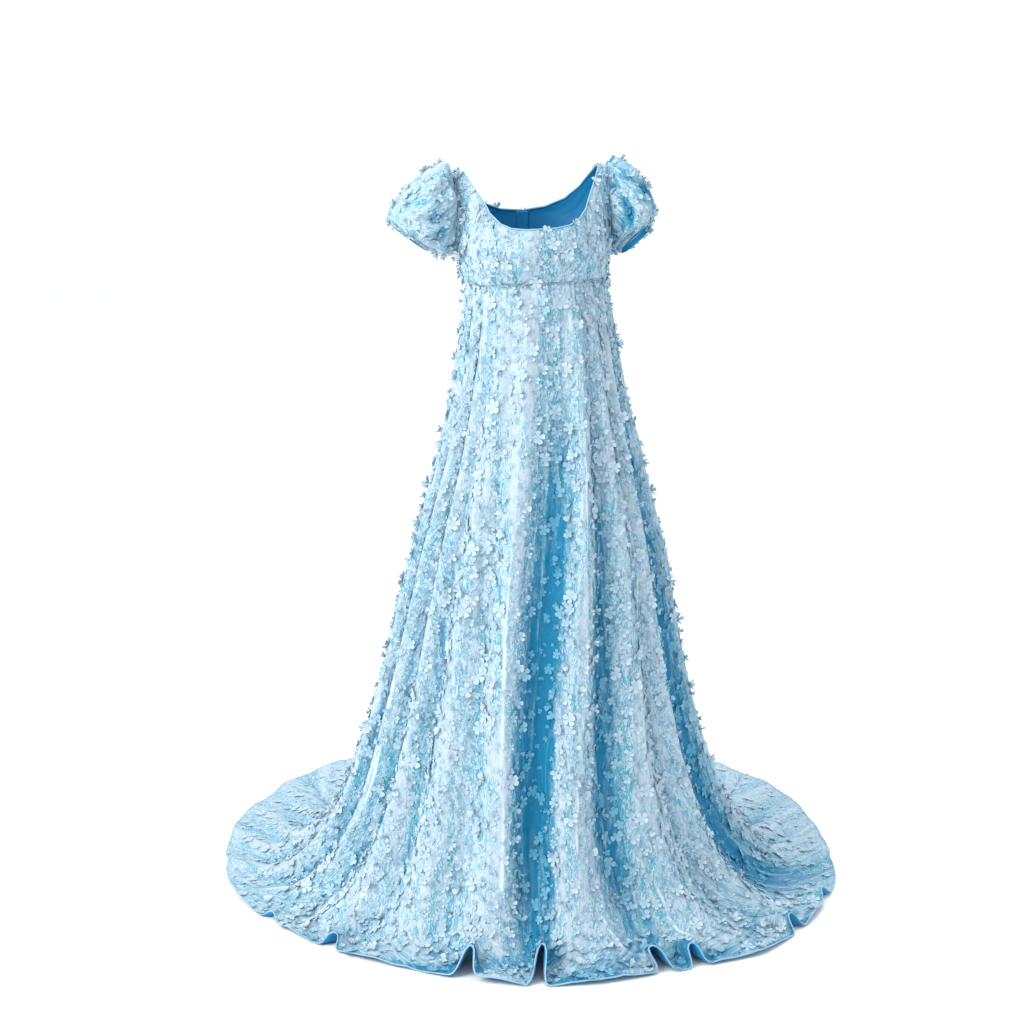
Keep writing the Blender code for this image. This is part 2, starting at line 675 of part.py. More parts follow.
def make_placket():
    """The strip behind the centre-back opening, from the neck into the skirt."""
    strips = [side_grid(BACK, True, mirrored, back_shares(), ROW_STEPS)
              for mirrored in (True, False)]
    last = PRINCESS_ROWS * ROW_STEPS
    rows = [[right[1], left[0], left[1]] for right, left in zip(*strips)][last:0:-1]
    skirt = skirt_grid([-PLACKET_HEM_DEG, 180.0, PLACKET_HEM_DEG])
    rows += skirt[:PLACKET_SKIRT_HOOPS + 1]
    rows = [row[::-1] for row in rows]
    cloth_piece("back_placket", PLAIN_SATIN, sunk(trimmed(rows), CLOTH + SEAM_GAP), FACING)


def make_sleeves(edges):
    """Both puff sleeves with their cuffs."""
    for name, table, side in (("right", SLEEVE_RIGHT, -1.0), ("left", SLEEVE_LEFT, 1.0)):
        sleeve = sleeve_grid(table, side, *edges[name])
        cloth_piece("sleeve_" + name, SATIN, sleeve, CLOTH, round_tube=True)
        cloth_piece("cuff_" + name, SATIN, cuff_grid(sleeve), CLOTH, round_tube=True)


def make_skirt():
    """The five gores and the facings behind the front three."""
    for gore in GORES:
        grid = skirt_grid(hem_columns(gore))
        cloth_piece(gore.name, SATIN, trimmed(grid, ends=(True, False)), CLOTH)
        if gore.faced:
            facing = sunk(trimmed(grid[-2:], ends=(False, False)), CLOTH + SEAM_GAP)
            cloth_piece(gore.faced, PLAIN_SATIN, facing, FACING)


def main():
    """Clear the scene and make the gown."""
    for piece in list(bpy.data.objects):
        bpy.data.objects.remove(piece)
    bpy.context.scene.collection.children.link(bpy.data.collections.new(COLLECTION))
    edges = make_bodice()
    make_placket()
    make_sleeves(edges)
    make_skirt()


main()
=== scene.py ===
"""Regency gown: its ribbon-worked satin, applied flowers, lining and edges.

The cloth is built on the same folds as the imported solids, in metres, with +Z up, the
front facing -Y and the origin on the shoulder line. In the tables, heights are above the
floor, and azimuths run from the centre front (0) towards the wearer's left (+90) and
right (-90) to the centre back (180).
"""
import json
import math
from collections import namedtuple

import bpy
import numpy as np
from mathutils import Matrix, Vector

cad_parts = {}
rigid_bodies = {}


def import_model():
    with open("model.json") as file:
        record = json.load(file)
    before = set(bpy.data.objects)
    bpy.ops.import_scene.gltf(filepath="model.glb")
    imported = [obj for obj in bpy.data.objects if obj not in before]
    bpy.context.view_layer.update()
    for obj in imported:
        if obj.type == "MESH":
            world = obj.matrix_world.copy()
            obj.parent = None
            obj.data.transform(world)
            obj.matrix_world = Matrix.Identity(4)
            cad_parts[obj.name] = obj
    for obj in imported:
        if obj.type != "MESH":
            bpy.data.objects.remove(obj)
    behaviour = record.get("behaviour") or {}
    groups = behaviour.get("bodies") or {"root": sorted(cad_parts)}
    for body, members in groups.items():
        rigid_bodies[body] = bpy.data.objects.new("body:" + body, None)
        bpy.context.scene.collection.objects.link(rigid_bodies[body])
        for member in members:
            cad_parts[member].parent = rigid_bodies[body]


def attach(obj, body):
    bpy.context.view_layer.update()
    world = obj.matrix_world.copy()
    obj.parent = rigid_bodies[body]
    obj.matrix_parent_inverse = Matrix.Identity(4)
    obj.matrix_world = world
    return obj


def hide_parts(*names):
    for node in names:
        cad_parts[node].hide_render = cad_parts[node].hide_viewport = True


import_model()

bl_info = {
    "name": "Regency gown",
    "version": (1, 0, 0),
    "blender": (4, 5, 0),
    "location": "3D View > Sidebar > Gown",
    "description": "Builds a high-waisted gown with puff sleeves, a train and flowers",
    "category": "Object",
}

# ---------------------------------------------------------------- driving sizes
SHOULDER_HEIGHT = 1.562      # the origin above the floor
WAIST_HEIGHT = 1.330
SEAM_GAP = 0.0003
CLOTH_STEP = 0.0125          # of the skirt's mesh at the hem
FLOOR_CLEARANCE = 0.0005
SLEEVE_GATHERS = 14
CUFF_WIDTH = 0.012
CUFF_RIBS = 44
CUFF_RIB_HEIGHT = 0.0010
CUFF_SWELL = 0.0012
CUFF_ROWS = 7
PRINCESS_ROWS = 4            # rows of SIDE_FRONT below the neckline
SIDE_SEAM_ROWS = 3           # rows of the side tables below the underarm point
PLACKET_HEM_DEG = 175.0
PLACKET_START_HOOP = 0.03
PLACKET_SKIRT_HOOPS = 2
PLACKET_HALF_WIDTH = 0.012
LEAST_AREA_SHARE = 0.31      # of a cut piece's rectangle
BODY = "root"
SIDES = {"right": -1.0, "left": 1.0}      # and which way each lies along X


# ---------------------------------------------------------------- the gown's form
def make_table(columns, *values):
    """A short table: rows of numbers with named columns."""
    row = namedtuple("Row", columns)
    return tuple(row(*line) for line in values)


POSE = make_table(
    "height turn_deg tip_deg shift_x",
    (0.000, 0.0, 0.0, 0.004),
    (0.350, 0.0, 0.0, 0.006),
    (0.645, 0.0, 0.3, 0.012),
    (0.954, 2.0, 1.0, 0.018),
    (1.235, 6.5, 2.8, 0.014),
    (1.330, 8.0, 3.3, 0.010),
    (1.400, 8.0, 3.3, 0.002),
    (1.700, 8.0, 3.3, 0.000),
)
TRUNK = make_table(
    "height half_width front back",
    (1.330, 0.1470, 0.1245, 0.1125),
    (1.355, 0.1520, 0.1350, 0.1150),
    (1.380, 0.1560, 0.1430, 0.1180),
    (1.400, 0.1585, 0.1460, 0.1200),
    (1.425, 0.1610, 0.1430, 0.1220),
    (1.450, 0.1630, 0.1350, 0.1230),
    (1.475, 0.1645, 0.1230, 0.1220),
    (1.500, 0.1660, 0.1070, 0.1160),
    (1.520, 0.1675, 0.0890, 0.1060),
    (1.540, 0.1690, 0.0660, 0.0870),
    (1.552, 0.1700, 0.0450, 0.0630),
    (1.559, 0.1700, 0.0270, 0.0380),
    (1.562, 0.1700, -0.0050, 0.0050),
)
CUPS = make_table(
    "azimuth_deg height half_angle_deg half_height fullness",
    (-31.0, 1.398, 27.0, 0.050, 0.011),
    (31.0, 1.398, 27.0, 0.050, 0.011),
)
SIDE_FRONT = make_table(
    "inner_x inner_height outer_deg outer_height",
    (0.0930, 1.3300, 90.0, 1.3300),
    (0.0940, 1.3650, 90.0, 1.3550),
    (0.0950, 1.4020, 90.0, 1.3800),
    (0.0960, 1.4400, 90.0, 1.4000),
    (0.0985, 1.4760, 80.0, 1.4180),
    (0.1060, 1.4940, 74.0, 1.4440),
    (0.1170, 1.5150, 70.5, 1.4780),
    (0.1290, 1.5370, 70.0, 1.5150),
    (0.1375, 1.5550, 73.0, 1.5450),
    (0.1410, 1.5620, 77.0, 1.5620),
)
BACK = make_table(
    "inner_x inner_height outer_deg outer_height",
    (0.0000, 1.3300, 90.0, 1.3300),
    (0.0000, 1.3650, 90.0, 1.3550),
    (0.0000, 1.4020, 90.0, 1.3800),
    (0.0000, 1.4400, 90.0, 1.4000),
    (0.0000, 1.4780, 80.0, 1.4200),
    (0.0480, 1.4830, 73.0, 1.4480),
    (0.0880, 1.4980, 70.0, 1.4820),
    (0.1160, 1.5220, 70.0, 1.5150),
    (0.1340, 1.5480, 73.0, 1.5450),
    (0.1410, 1.5620, 77.0, 1.5620),
)
NECKLINE = make_table(
    "x height",
    (0.0000, 1.4390),
    (0.0300, 1.4395),
    (0.0570, 1.4435),
    (0.0780, 1.4540),
    (0.0985, 1.4760),
)
RING_COLUMNS = "high_x high_height low_x low_height half_depth middle_y rise"
SLEEVES = {
    "right": make_table(
        RING_COLUMNS,
        (0.178, 1.592, 0.1665, 1.3975, 0.070, 0.008, 0.00),
        (0.208, 1.574, 0.1750, 1.3950, 0.088, 0.008, 0.00),
        (0.244, 1.547, 0.1855, 1.3955, 0.096, 0.008, 0.00),
        (0.277, 1.519, 0.1955, 1.3990, 0.093, 0.008, 0.00),
        (0.294, 1.492, 0.2030, 1.4030, 0.080, 0.008, 0.00),
        (0.289, 1.473, 0.2075, 1.4080, 0.062, 0.008, 0.00),
        (0.276, 1.467, 0.2105, 1.4155, 0.044, 0.008, 0.00),
    ),
    "left": make_table(
        RING_COLUMNS,
        (0.174, 1.583, 0.1650, 1.3990, 0.070, 0.008, 0.00),
        (0.207, 1.558, 0.1670, 1.3960, 0.088, 0.008, 0.00),
        (0.234, 1.528, 0.1685, 1.3930, 0.096, 0.006, 0.00),
        (0.251, 1.496, 0.1700, 1.3900, 0.096, 0.004, 0.10),
        (0.258, 1.462, 0.1720, 1.3880, 0.087, 0.000, 0.22),
        (0.254, 1.434, 0.1760, 1.3880, 0.068, -0.004, 0.35),
        (0.245, 1.436, 0.1805, 1.3930, 0.047, -0.008, 0.40),
    ),
}
GATHER_DEPTHS = (0.0022, 0.0032, 0.0024, 0.0022, 0.0030, 0.0030, 0.0)
GATHER_WANDER = 0.35
UNDERARM_GATHER = 0.25
SLEEVE_LIGHT = {"right": 0.80, "left": 0.52}
# Long soft creases on the sleeves: angle 0 is the top of the ring, 90 its front.
CREASE_COLUMNS = "angle_deg ring half_angle_deg half_rings slant_deg depth"
SLEEVE_CREASES = {
    "right": make_table(
        CREASE_COLUMNS,
        (62.0, 1.0, 9.0, 1.6, 14.0, 0.0085),
        (96.0, 2.2, 8.0, 1.9, -10.0, 0.0095),
        (124.0, 3.4, 9.0, 1.5, 8.0, 0.0075),
        (30.0, 2.6, 8.0, 1.6, -8.0, 0.0065),
        (0.0, 0.7, 8.0, 1.2, 5.0, 0.0075),
        (-35.0, 1.6, 9.0, 1.5, 8.0, 0.0070),
        (-75.0, 2.4, 9.0, 1.8, -9.0, 0.0080),
        (-115.0, 1.8, 9.0, 1.4, 6.0, 0.0070),
    ),
    "left": make_table(
        CREASE_COLUMNS,
        (78.0, 1.2, 8.0, 1.7, 12.0, 0.0085),
        (48.0, 2.4, 8.0, 1.7, -10.0, 0.0085),
        (104.0, 3.0, 9.0, 1.8, 9.0, 0.0080),
        (18.0, 1.5, 8.0, 1.4, 6.0, 0.0070),
        (-20.0, 2.2, 8.0, 1.6, -7.0, 0.0065),
        (-60.0, 1.4, 9.0, 1.5, 8.0, 0.0070),
        (-100.0, 2.6, 9.0, 1.8, -8.0, 0.0080),
    ),
}
SKIRT = make_table(
    "half_width front back front_height side_height back_height ridge_share valley_share",
    (0.1470, 0.1245, 0.1125, 1.3300, 1.3300, 1.3300, 0.00, 0.00),
    (0.1590, 0.1480, 0.1350, 1.2350, 1.2350, 1.2350, 0.18, 0.22),
    (0.1800, 0.1700, 0.1600, 1.1000, 1.1000, 1.1000, 0.35, 0.42),
    (0.2120, 0.1980, 0.1950, 0.9540, 0.9540, 0.9540, 0.50, 0.62),
    (0.2540, 0.2280, 0.2400, 0.7900, 0.7900, 0.7800, 0.65, 0.80),
    (0.2860, 0.2530, 0.2800, 0.6450, 0.6400, 0.6200, 0.75, 0.92),
    (0.3210, 0.2780, 0.3250, 0.4850, 0.4800, 0.4500, 0.85, 1.00),
    (0.3570, 0.3010, 0.3800, 0.3500, 0.3450, 0.3100, 0.95, 1.00),
    (0.4030, 0.3260, 0.4500, 0.2250, 0.2150, 0.1900, 1.00, 1.00),
    (0.4580, 0.3520, 0.5300, 0.1300, 0.1150, 0.0950, 1.00, 0.85),
    (0.5200, 0.3880, 0.6400, 0.0640, 0.0500, 0.0350, 1.00, 0.45),
    (0.5830, 0.4300, 0.7900, 0.0260, 0.0180, 0.0110, 0.90, 0.12),
    (0.6450, 0.4740, 1.0000, 0.0085, 0.0065, 0.0050, 0.85, 0.00),
    (0.7050, 0.5200, 1.2200, 0.0038, 0.0038, 0.0038, 0.80, 0.00),
)
LAST_HOOP = len(SKIRT) - 1.0
FOLDS = make_table(
    "seam_deg hem_deg ridge hem_ridge valley narrow",
    (-171.0, -170.0, 0.016, 0.005, 0.022, 1.0),
    (-157.0, -156.0, 0.020, 0.005, 0.018, 0.8),
    (-143.0, -143.0, 0.014, 0.005, 0.024, 1.2),
    (-129.0, -131.0, 0.018, 0.005, 0.020, 0.9),
    (-115.0, -118.0, 0.015, 0.005, 0.022, 1.0),
    (-101.0, -105.0, 0.020, 0.005, 0.016, 1.3),
    (-88.0, -93.0, 0.013, 0.008, 0.018, 0.8),
    (-76.0, -81.0, 0.020, 0.008, 0.022, 1.1),
    (-63.0, -63.0, 0.017, 0.014, 0.016, 1.0),
    (-50.0, -46.0, 0.012, 0.010, 0.015, 0.9),
    (-35.0, -29.0, 0.014, 0.011, 0.007, 1.4),
    (-14.0, -7.0, 0.020, 0.016, 0.030, 1.0),
    (14.0, 9.0, 0.016, 0.013, 0.026, 1.5),
    (37.0, 38.0, 0.012, 0.010, 0.008, 1.2),
    (56.0, 57.0, 0.018, 0.014, 0.036, 0.6),
    (86.0, 93.0, 0.018, 0.008, 0.020, 1.0),
    (100.0, 106.0, 0.016, 0.005, 0.022, 1.2),
    (114.0, 119.0, 0.019, 0.005, 0.018, 0.9),
    (128.0, 132.0, 0.014, 0.005, 0.024, 1.0),
    (142.0, 144.0, 0.019, 0.005, 0.019, 1.1),
    (157.0, 157.0, 0.014, 0.005, 0.021, 0.9),
    (171.0, 170.0, 0.016, 0.005, 0.022, 1.0),
)
# How far the hem strays out of its oval, and over how many hoops it does so.
STRAYS = make_table(
    "hem_deg reach",
    (-180.0, 0.000),
    (-62.0, 0.006),
    (-45.0, -0.010),
    (-20.0, -0.028),
    (-5.0, -0.006),
    (10.0, 0.006),
    (20.0, -0.006),
    (38.0, 0.038),
    (64.0, 0.016),
    (90.0, -0.008),
    (180.0, 0.000),
)
STRAY_HOOPS = 4
# Loops where the hem meets the floor; slant_deg is how far their tops lean aside.
ARCHES = make_table(
    "hem_deg half_width_deg height length_in_hoops pinch slant_deg",
    (-78.0, 3.0, 0.014, 2.0, 0.0, 0.0),
    (-52.0, 3.0, 0.016, 2.0, 0.0, 0.0),
    (-37.0, 2.4, 0.030, 2.2, 0.10, 0.6),
    (-11.3, 2.3, 0.050, 2.6, 0.06, 0.8),
    (0.6, 1.8, 0.072, 4.0, 0.14, 0.9),
    (22.0, 2.3, 0.050, 3.2, 0.18, -2.0),
    (27.6, 2.0, 0.042, 3.0, 0.14, -0.8),
    (49.0, 2.2, 0.036, 2.8, 0.10, -0.8),
    (62.0, 2.8, 0.020, 1.6, 0.0, 0.0),
    (80.0, 3.0, 0.014, 2.0, 0.0, 0.0),
)
ARCH_LEAN = 0.65             # how far an arch leans back for each metre of its height
ARCH_BREADTH = 1.02
# How far the folds of the front left lean round the skirt, by hoop and by azimuth.
LEANS = make_table(
    "hoop lean_deg",
    (0.0, 9.0),
    (2.0, 12.0),
    (4.0, 8.5),
    (5.5, 4.0),
    (6.7, 1.0),
    (8.0, -1.0),
    (10.0, 0.0),
)
LEAN_SPAN_DEG = (-8.0, 20.0, 36.0, 58.0)
# Narrow smooth rolls of satin along the folds, as hoops and hem azimuths.
ROLLS = (
    ((0.1, -28.0), (2.0, -36.0), (4.1, -27.0)),
    ((0.2, -7.0), (4.5, -7.5), (9.5, -6.0)),
    ((0.1, 23.0), (1.9, 24.0), (4.0, 19.0), (5.6, 17.0), (6.7, 12.0), (8.6, 9.5)),
    ((2.2, 43.0), (4.2, 52.0), (6.5, 40.0), (8.8, 37.0)),
    ((5.5, -62.0), (8.0, -60.0), (9.6, -84.0)),
    ((8.0, -68.0), (8.9, -72.0), (12.6, -64.0)),
    ((7.5, -47.0), (9.4, -45.0), (11.2, -49.0)),
    ((9.3, 14.0), (11.0, 17.5), (12.7, 23.5)),
    ((8.6, 33.0), (10.5, 31.0), (12.6, 37.0)),
    ((1.0, 88.0), (4.5, 99.0), (8.0, 93.0)),
    ((1.5, 130.0), (5.0, 134.0), (9.5, 128.0)),
    ((3.0, 156.0), (7.0, 158.0), (11.5, 151.0)),
    ((2.0, -157.0), (6.0, -155.0), (10.5, -160.0)),
    ((1.0, -130.0), (5.5, -133.0), (9.0, -127.0)),
    ((3.5, -103.0), (7.0, -107.0), (11.0, -101.0)),
)
ROLL_HEIGHT = 0.0045
ROLL_HALF_WIDTH = 0.0035
ROLL_HEM_WIDENING = 0.0050
ROLL_BREAK_SEED = 15
SEAM_DIP = 0.0012
SEAM_DIP_DEG = 1.2
SEAM_GATHERS = 66
SEAM_GATHER_HEIGHT = 0.30    # in crease heights
# How light falls on the cloth: folds this deep are dark, at the seam and low down, and
# where a valley runs out at the hem it keeps this share of its darkness. A crease this
# much above the cloth beside it is fully light.
DARK_DEPTHS = (0.026, 0.047)
VALLEY_SHADE = 0.70
CREASE_SHADE = 0.010
BESIDE_DEG = (-2.4, -1.2, 1.2, 2.4)
# Where the train's sides lie on the floor and where its cloth is spread, as the azimuth
# where that begins and how many degrees it takes.
LYING = (52.0, 22.0)
SPREAD = (48.0, 12.0)
LYING_BARENESS = 0.78        # how many of the flowers are missing where it lies
# Painted light: how much lighter the train is painted where its cloth is spread.
SPREAD_LIGHT = 0.48
# Bare patches of satin along the hem.
BARE_HEM_SEED = 17
BARE_HEM_SHADE = 0.72
# Shares of the flowers that are left deep in the folds and at the waist seam, and how
# soon they give way to a roll.
DEEP_FLOWERS = 0.6
SEAM_FLOWERS = 0.2
ROLL_CLEARING = 1.6
# Small creases of the bodice: points of its mesh to a bump, across and along.
PULL_BUMP, PULL_STRENGTH = (9.0, 22.0), 0.30
RIB_BUMP = (1.8, 13.0)
PUCKER_BUMP, PUCKER_STRENGTH = (3.0, 60.0), 0.35
PUCKER_ROWS = 9.0
EDGE_SINK = 0.15
# The panels' points across and up, and how strong their ribs are with the seed of their
# creases.
CENTRE_POINTS, CENTRE_RIBS = (70, 46), (0.10, 31)
SIDE_POINTS, SIDE_RIBS = (34, 84), (0.42, 33)
BACK_POINTS, BACK_RIBS = (54, 84), (0.16, 35)
SLEEVE_POINTS = (SLEEVE_GATHERS * 12, 46)
ROOT_ROWS = 12               # of a sleeve, where its flowers begin thinly
PLACKET_POINTS = (9, 40, 50)               # across, on the bodice and on the skirt
GORES = make_table(
    "name start_deg end_deg node facing",
    ("back_gore_right", -180.0, -124.5, "skirt_back_right", None),
    ("side_gore_right", -124.5, -54.5, "skirt_side_right", "hem_facing_right"),
    ("front_gore", -54.5, 47.5, "skirt_front", "hem_facing_front"),
    ("side_gore_left", 47.5, 125.5, "skirt_side_left", "hem_facing_left"),
    ("back_gore_left", 125.5, 180.0, "skirt_back_left", None),
)
FACING_HOOPS = (LAST_HOOP - 1, LAST_HOOP)
# Chance patterns of the cloth. Strengths are in crease heights, but that of the seam's
# wander is in radians and that of the hem's waves in metres.
Waves = namedtuple("Waves", "around per_row seed strength")
SMALL_FOLDS = Waves(64, 0.5, 3, 0.75)
FOLD_LINES = Waves(90, 0.32, 5, 0.8)
RIPPLES = Waves(240, 1.1, 7, 0.22)
CRUMPLE = Waves(150, 3.0, 9, 0.38)
SEAM_WANDER = Waves(24, 0.4, 11, 2.2)
HEM_WAVES = Waves(36, 0.0, 13, 0.006)
SLEEVE_FURROWS = Waves(22, 0.45, 21, 1.3)
SLEEVE_FANS = Waves(46, 0.5, 23, 0.5)
SLEEVE_LUMPS = Waves(9, 0.9, 25, 1.9)
# Trimmings.
WAIST_SEAM_HOOP = 0.02
NECK_STEP = 0.004
STITCHES_OUT = 0.0030
STITCHES_BELOW = 0.0042
STITCH_PITCH = 1.7           # stitch lengths from one stitch to the next
MOST_FLOWERS = 4000.0        # to a square metre
FLOWER_LEAN = 0.26           # radians each way
FLOWER_FACTORS = (0.55, 1.25)              # least and greatest size


# ---------------------------------------------------------------- settings
def length(name, description, default):
    """A length that a user can change."""
    return bpy.props.FloatProperty(name=name, description=description, default=default,
                                   min=0.0, unit="LENGTH", precision=4)


def colour(name, description, *default):
    """A colour that a user can change."""
    return bpy.props.FloatVectorProperty(name=name, description=description,
                                         default=(*default, 1.0), size=4,
                                         min=0.0, max=1.0, subtype="COLOR")


class GownSizes(bpy.types.PropertyGroup):
    """Sizes of the gown's cloth, flowers and edges."""

    cloth: length("Cloth", "Thickness of the dress fabric with its lining", 0.0018)
    facing: length("Facing", "Thickness of the plain satin facings", 0.0010)
    crease: length("Creases", "Height of the soft creases between the main folds", 0.0040)
    flower: length("Flower", "Radius of a full flower", 0.0142)
    flower_spacing: length("Flower spacing", "Least distance between flowers", 0.0215)
    bud: length("Bud", "Radius of the small flowers between them", 0.0074)
    bud_spacing: length("Bud spacing", "Least distance between small flowers", 0.0225)
    edge: length("Edge", "Radius of the turned edges of hem and neck", 0.0016)
    seam_cord: length("Seam cord", "Radius of the raised waist seam", 0.0012)
    armhole_roll: length("Armhole roll", "Radius of the gathered armhole rolls", 0.0042)
    stitch: length("Stitch", "Length of a stitch", 0.0034)
    thread: length("Thread", "Thickness of a stitch", 0.0008)


class GownColours(bpy.types.PropertyGroup):
    """Colours of the gown."""

    pale: colour("Pale ribbon", "The ribbon work in the light", 0.418, 0.497, 0.588)
    satin: colour("Satin", "The satin between the ribbons", 0.070, 0.325, 0.430)
    gap: colour("Gap", "The shaded satin between the ribbons", 0.045, 0.250, 0.350)
    # Painted shade: the deep satin is painted where the cloth lies deep in its folds.
    deep: colour("Deep satin", "The satin down in the folds", 0.0, 0.145, 0.29)
    # Painted highlight: the pale colour painted along the smooth rolls and fine creases.
    gloss_and_painted_highlight: colour("Shine", "The smooth rolls and glossy creases", 0.58, 0.68, 0.75)
    lining: colour("Lining", "The plain satin inside", 0.0, 0.20, 0.45)
    petal: colour("Petal", "The petals of the flowers", 0.460, 0.525, 0.610)
    petal_shade: colour("Shaded petal", "The hearts of the flowers", 0.20, 0.42, 0.52)
    # Painted shade: the petals' colour deep in the folds of the cloth.
    petal_fold_shade: colour("Deep petal", "The petals down in the folds", 0.015, 0.25, 0.41)
    edge: colour("Edge", "The turned edges", 0.28, 0.48, 0.62)
    floor: colour("Floor", "The studio floor", 0.985, 0.99, 0.995)
    floor_light: colour("Light floor", "Paler clouds on the floor", 0.995, 0.995, 1.0)


# ---------------------------------------------------------------- small maths
NOISE_ROWS = 97


def mix(a, b, t):
    """A value a share of the way from a to b."""
    return a + (b - a) * t


def ease(t):
    """A smooth step from 0 to 1."""
    t = np.clip(t, 0.0, 1.0)
    return t * t * (3 - 2 * t)


def wrapped(degrees):
    """Angles between -180 and 180 degrees."""
    return (degrees + 180.0) % 360.0 - 180.0


def unit(vectors):
    """Vectors of length 1."""
    return vectors / np.maximum(np.linalg.norm(vectors, axis=-1, keepdims=True), 1e-9)


def catmull(a, b, c, d, t):
    """A smooth value between b and c."""
    bend = 2 * a - 5 * b + 4 * c - d + t * (3 * (b - c) + d - a)
    return b + 0.5 * t * (c - a + t * bend)


def smooth_rows(table, position):
    """Rows of numbers or points, read smoothly at fractional rows."""
    table = np.asarray(table, float)
    position = np.asarray(position, float)
    index = np.clip(position.astype(int), 0, len(table) - 2)
    t = position - index
    t = t.reshape(t.shape + (1,) * (table.ndim - 1))
    near = [table[np.clip(index + step, 0, len(table) - 1)] for step in (-1, 0, 1, 2)]
    return catmull(*near, t)


def named(table, values):
    """Values whose last axis follows a table's columns, as one row with their names."""
    return table[0]._make(np.moveaxis(values, -1, 0))


def read(table, position):
    """A table's columns, read smoothly at fractional rows."""
    return named(table, smooth_rows(table, position))


def read_straight(table, position):
    """A table's columns, read in straight lines at fractional rows."""
    return named(table, at_stops(position, np.arange(len(table)), np.array(table)))


def looked_up(table, value):
    """A table's columns, read in straight lines at a value of its first column."""
    table_values = np.array(table)
    return named(table, at_stops(value, table_values[:, 0], table_values))


def at_stops(where, stops, values):
    """Rows of numbers or points that belong to stops, in straight lines between them."""
    return np.stack([np.interp(where, stops, column) for column in values.T], axis=-1)


def lengths_along(points):
    """How far along a polyline each of its points lies."""
    steps = np.linalg.norm(np.diff(points, axis=0), axis=1)
    return np.concatenate(([0.0], np.cumsum(steps)))


def along_line(points, share, values=None):
    """A polyline's points, or values that belong to them, at shares of its length."""
    lengths = lengths_along(points)
    return at_stops(share * lengths[-1], lengths, points if values is None else values)


def evenly(values, points, step):
    """Values spaced so that their points lie evenly, about a step apart."""
    lengths = lengths_along(points)
    count = max(2, int(round(lengths[-1] / step)) + 1)
    return np.interp(np.linspace(0.0, lengths[-1], count), lengths, values)


def noise(across, along, seed, around=64):
    """Smooth noise between -1 and 1, one bump a unit; it repeats after so many across."""
    values = np.random.default_rng(seed).uniform(-1.0, 1.0, (around, NOISE_ROWS))
    left = np.floor(across).astype(int)
    low = np.floor(along).astype(int)
    right_share = ease(across - left)
    high_share = ease(along - low)

    def corner(a, b):
        return values[(left + a) % around, (low + b) % NOISE_ROWS]

    return mix(mix(corner(0, 0), corner(1, 0), right_share),
               mix(corner(0, 1), corner(1, 1), right_share), high_share)


def waves(kind, turns, position):
    """A chance pattern of the cloth, at turns round the piece and rows of its table."""
    return noise(turns * kind.around, position * kind.per_row, kind.seed, kind.around)


def outward_normals(points, closed=False):
    """Normals of a grid that face out of the garment, and whether they were turned."""
    if closed:
        across = np.roll(points, -1, axis=1) - np.roll(points, 1, axis=1)
        away = points - points.reshape(-1, 3).mean(axis=0)
    else:
        across = np.gradient(points, axis=1)
        away = points * (1.0, 1.0, 0.0) + (0.0, 0.0, 0.1)
    normals = unit(np.cross(np.gradient(points, axis=0), across))
    turned = np.sum(normals * away) < 0
    return (-normals if turned else normals), turned


def posed(x, y, height):
    """Turn, tip and shift points of the upright form into the worn pose, in the frame."""
    pose = looked_up(POSE, height)
    turn = np.radians(pose.turn_deg)
    tip = np.radians(pose.tip_deg)
    turned_x = x * np.cos(turn) - y * np.sin(turn)
    turned_y = x * np.sin(turn) + y * np.cos(turn)
    up = height + turned_x * np.sin(tip) - SHOULDER_HEIGHT
    return np.stack((turned_x + pose.shift_x, turned_y, up), axis=-1)


# ---------------------------------------------------------------- skirt
def skirt_form(azimuth_deg, hoop):
    """The skirt's smooth form, before its folds, as upright points."""
    form = read(SKIRT, hoop)
    azimuth = np.radians(azimuth_deg)
    ahead = np.cos(azimuth)
    end_height = np.where(ahead > 0, form.front_height, form.back_height)
    height = mix(form.side_height, end_height, ahead * ahead)
    x = form.half_width * np.sin(azimuth)
    y = (form.back - form.front) / 2 - (form.back + form.front) / 2 * ahead
    return np.stack((x, y, height), axis=-1)


def form_normals(azimuth_deg, hoop, step_deg=0.4, step_hoops=0.04):
    """Outward normals of the skirt's smooth form."""
    across = (skirt_form(azimuth_deg + step_deg, hoop)
              - skirt_form(azimuth_deg - step_deg, hoop))
    up = (skirt_form(azimuth_deg, hoop - step_hoops)
          - skirt_form(azimuth_deg, hoop + step_hoops))
    return unit(np.cross(across, up))


def low_down(hoop):
    """0 on the hanging skirt, 1 at the hem."""
    return ease(1 - (LAST_HOOP - hoop) / STRAY_HOOPS)


def between_folds(hem_deg):
    """The folds on both sides of each hem azimuth, and the share of the way between."""
    first = FOLDS[0]
    again = first._replace(seam_deg=first.seam_deg + 360.0, hem_deg=first.hem_deg + 360.0)
    folds = np.array(FOLDS + (again,))
    hems = folds[:, first._fields.index("hem_deg")]
    around = np.where(hem_deg < hems[0], hem_deg + 360.0, hem_deg)
    index = np.clip(np.searchsorted(hems, around) - 1, 0, len(folds) - 2)
    low, high = named(FOLDS, folds[index]), named(FOLDS, folds[index + 1])
    return low, high, (around - low.hem_deg) / (high.hem_deg - low.hem_deg)


def into_fold(share, narrow):
    """0 on the ridges on both sides of a fold, 1 down at its middle."""
    return (0.5 - 0.5 * np.cos(2 * np.pi * share)) ** narrow


def leaned(hem_deg, hoop):
    """Hem azimuths as the folds have them, which lean round the front left."""
    span = np.interp(hem_deg, LEAN_SPAN_DEG, (0.0, 1.0, 1.0, 0.0))
    return hem_deg - looked_up(LEANS, hoop).lean_deg * ease(span)


def in_arch(arch, hem_deg, hoop):
    """How far beside an arch's middle a place lies, in half widths, and how far up it."""
    aside = np.clip((hem_deg - arch.hem_deg) / arch.half_width_deg, -1.0, 1.0)
    return aside, ease((hoop - LAST_HOOP) / arch.length_in_hoops + 1)


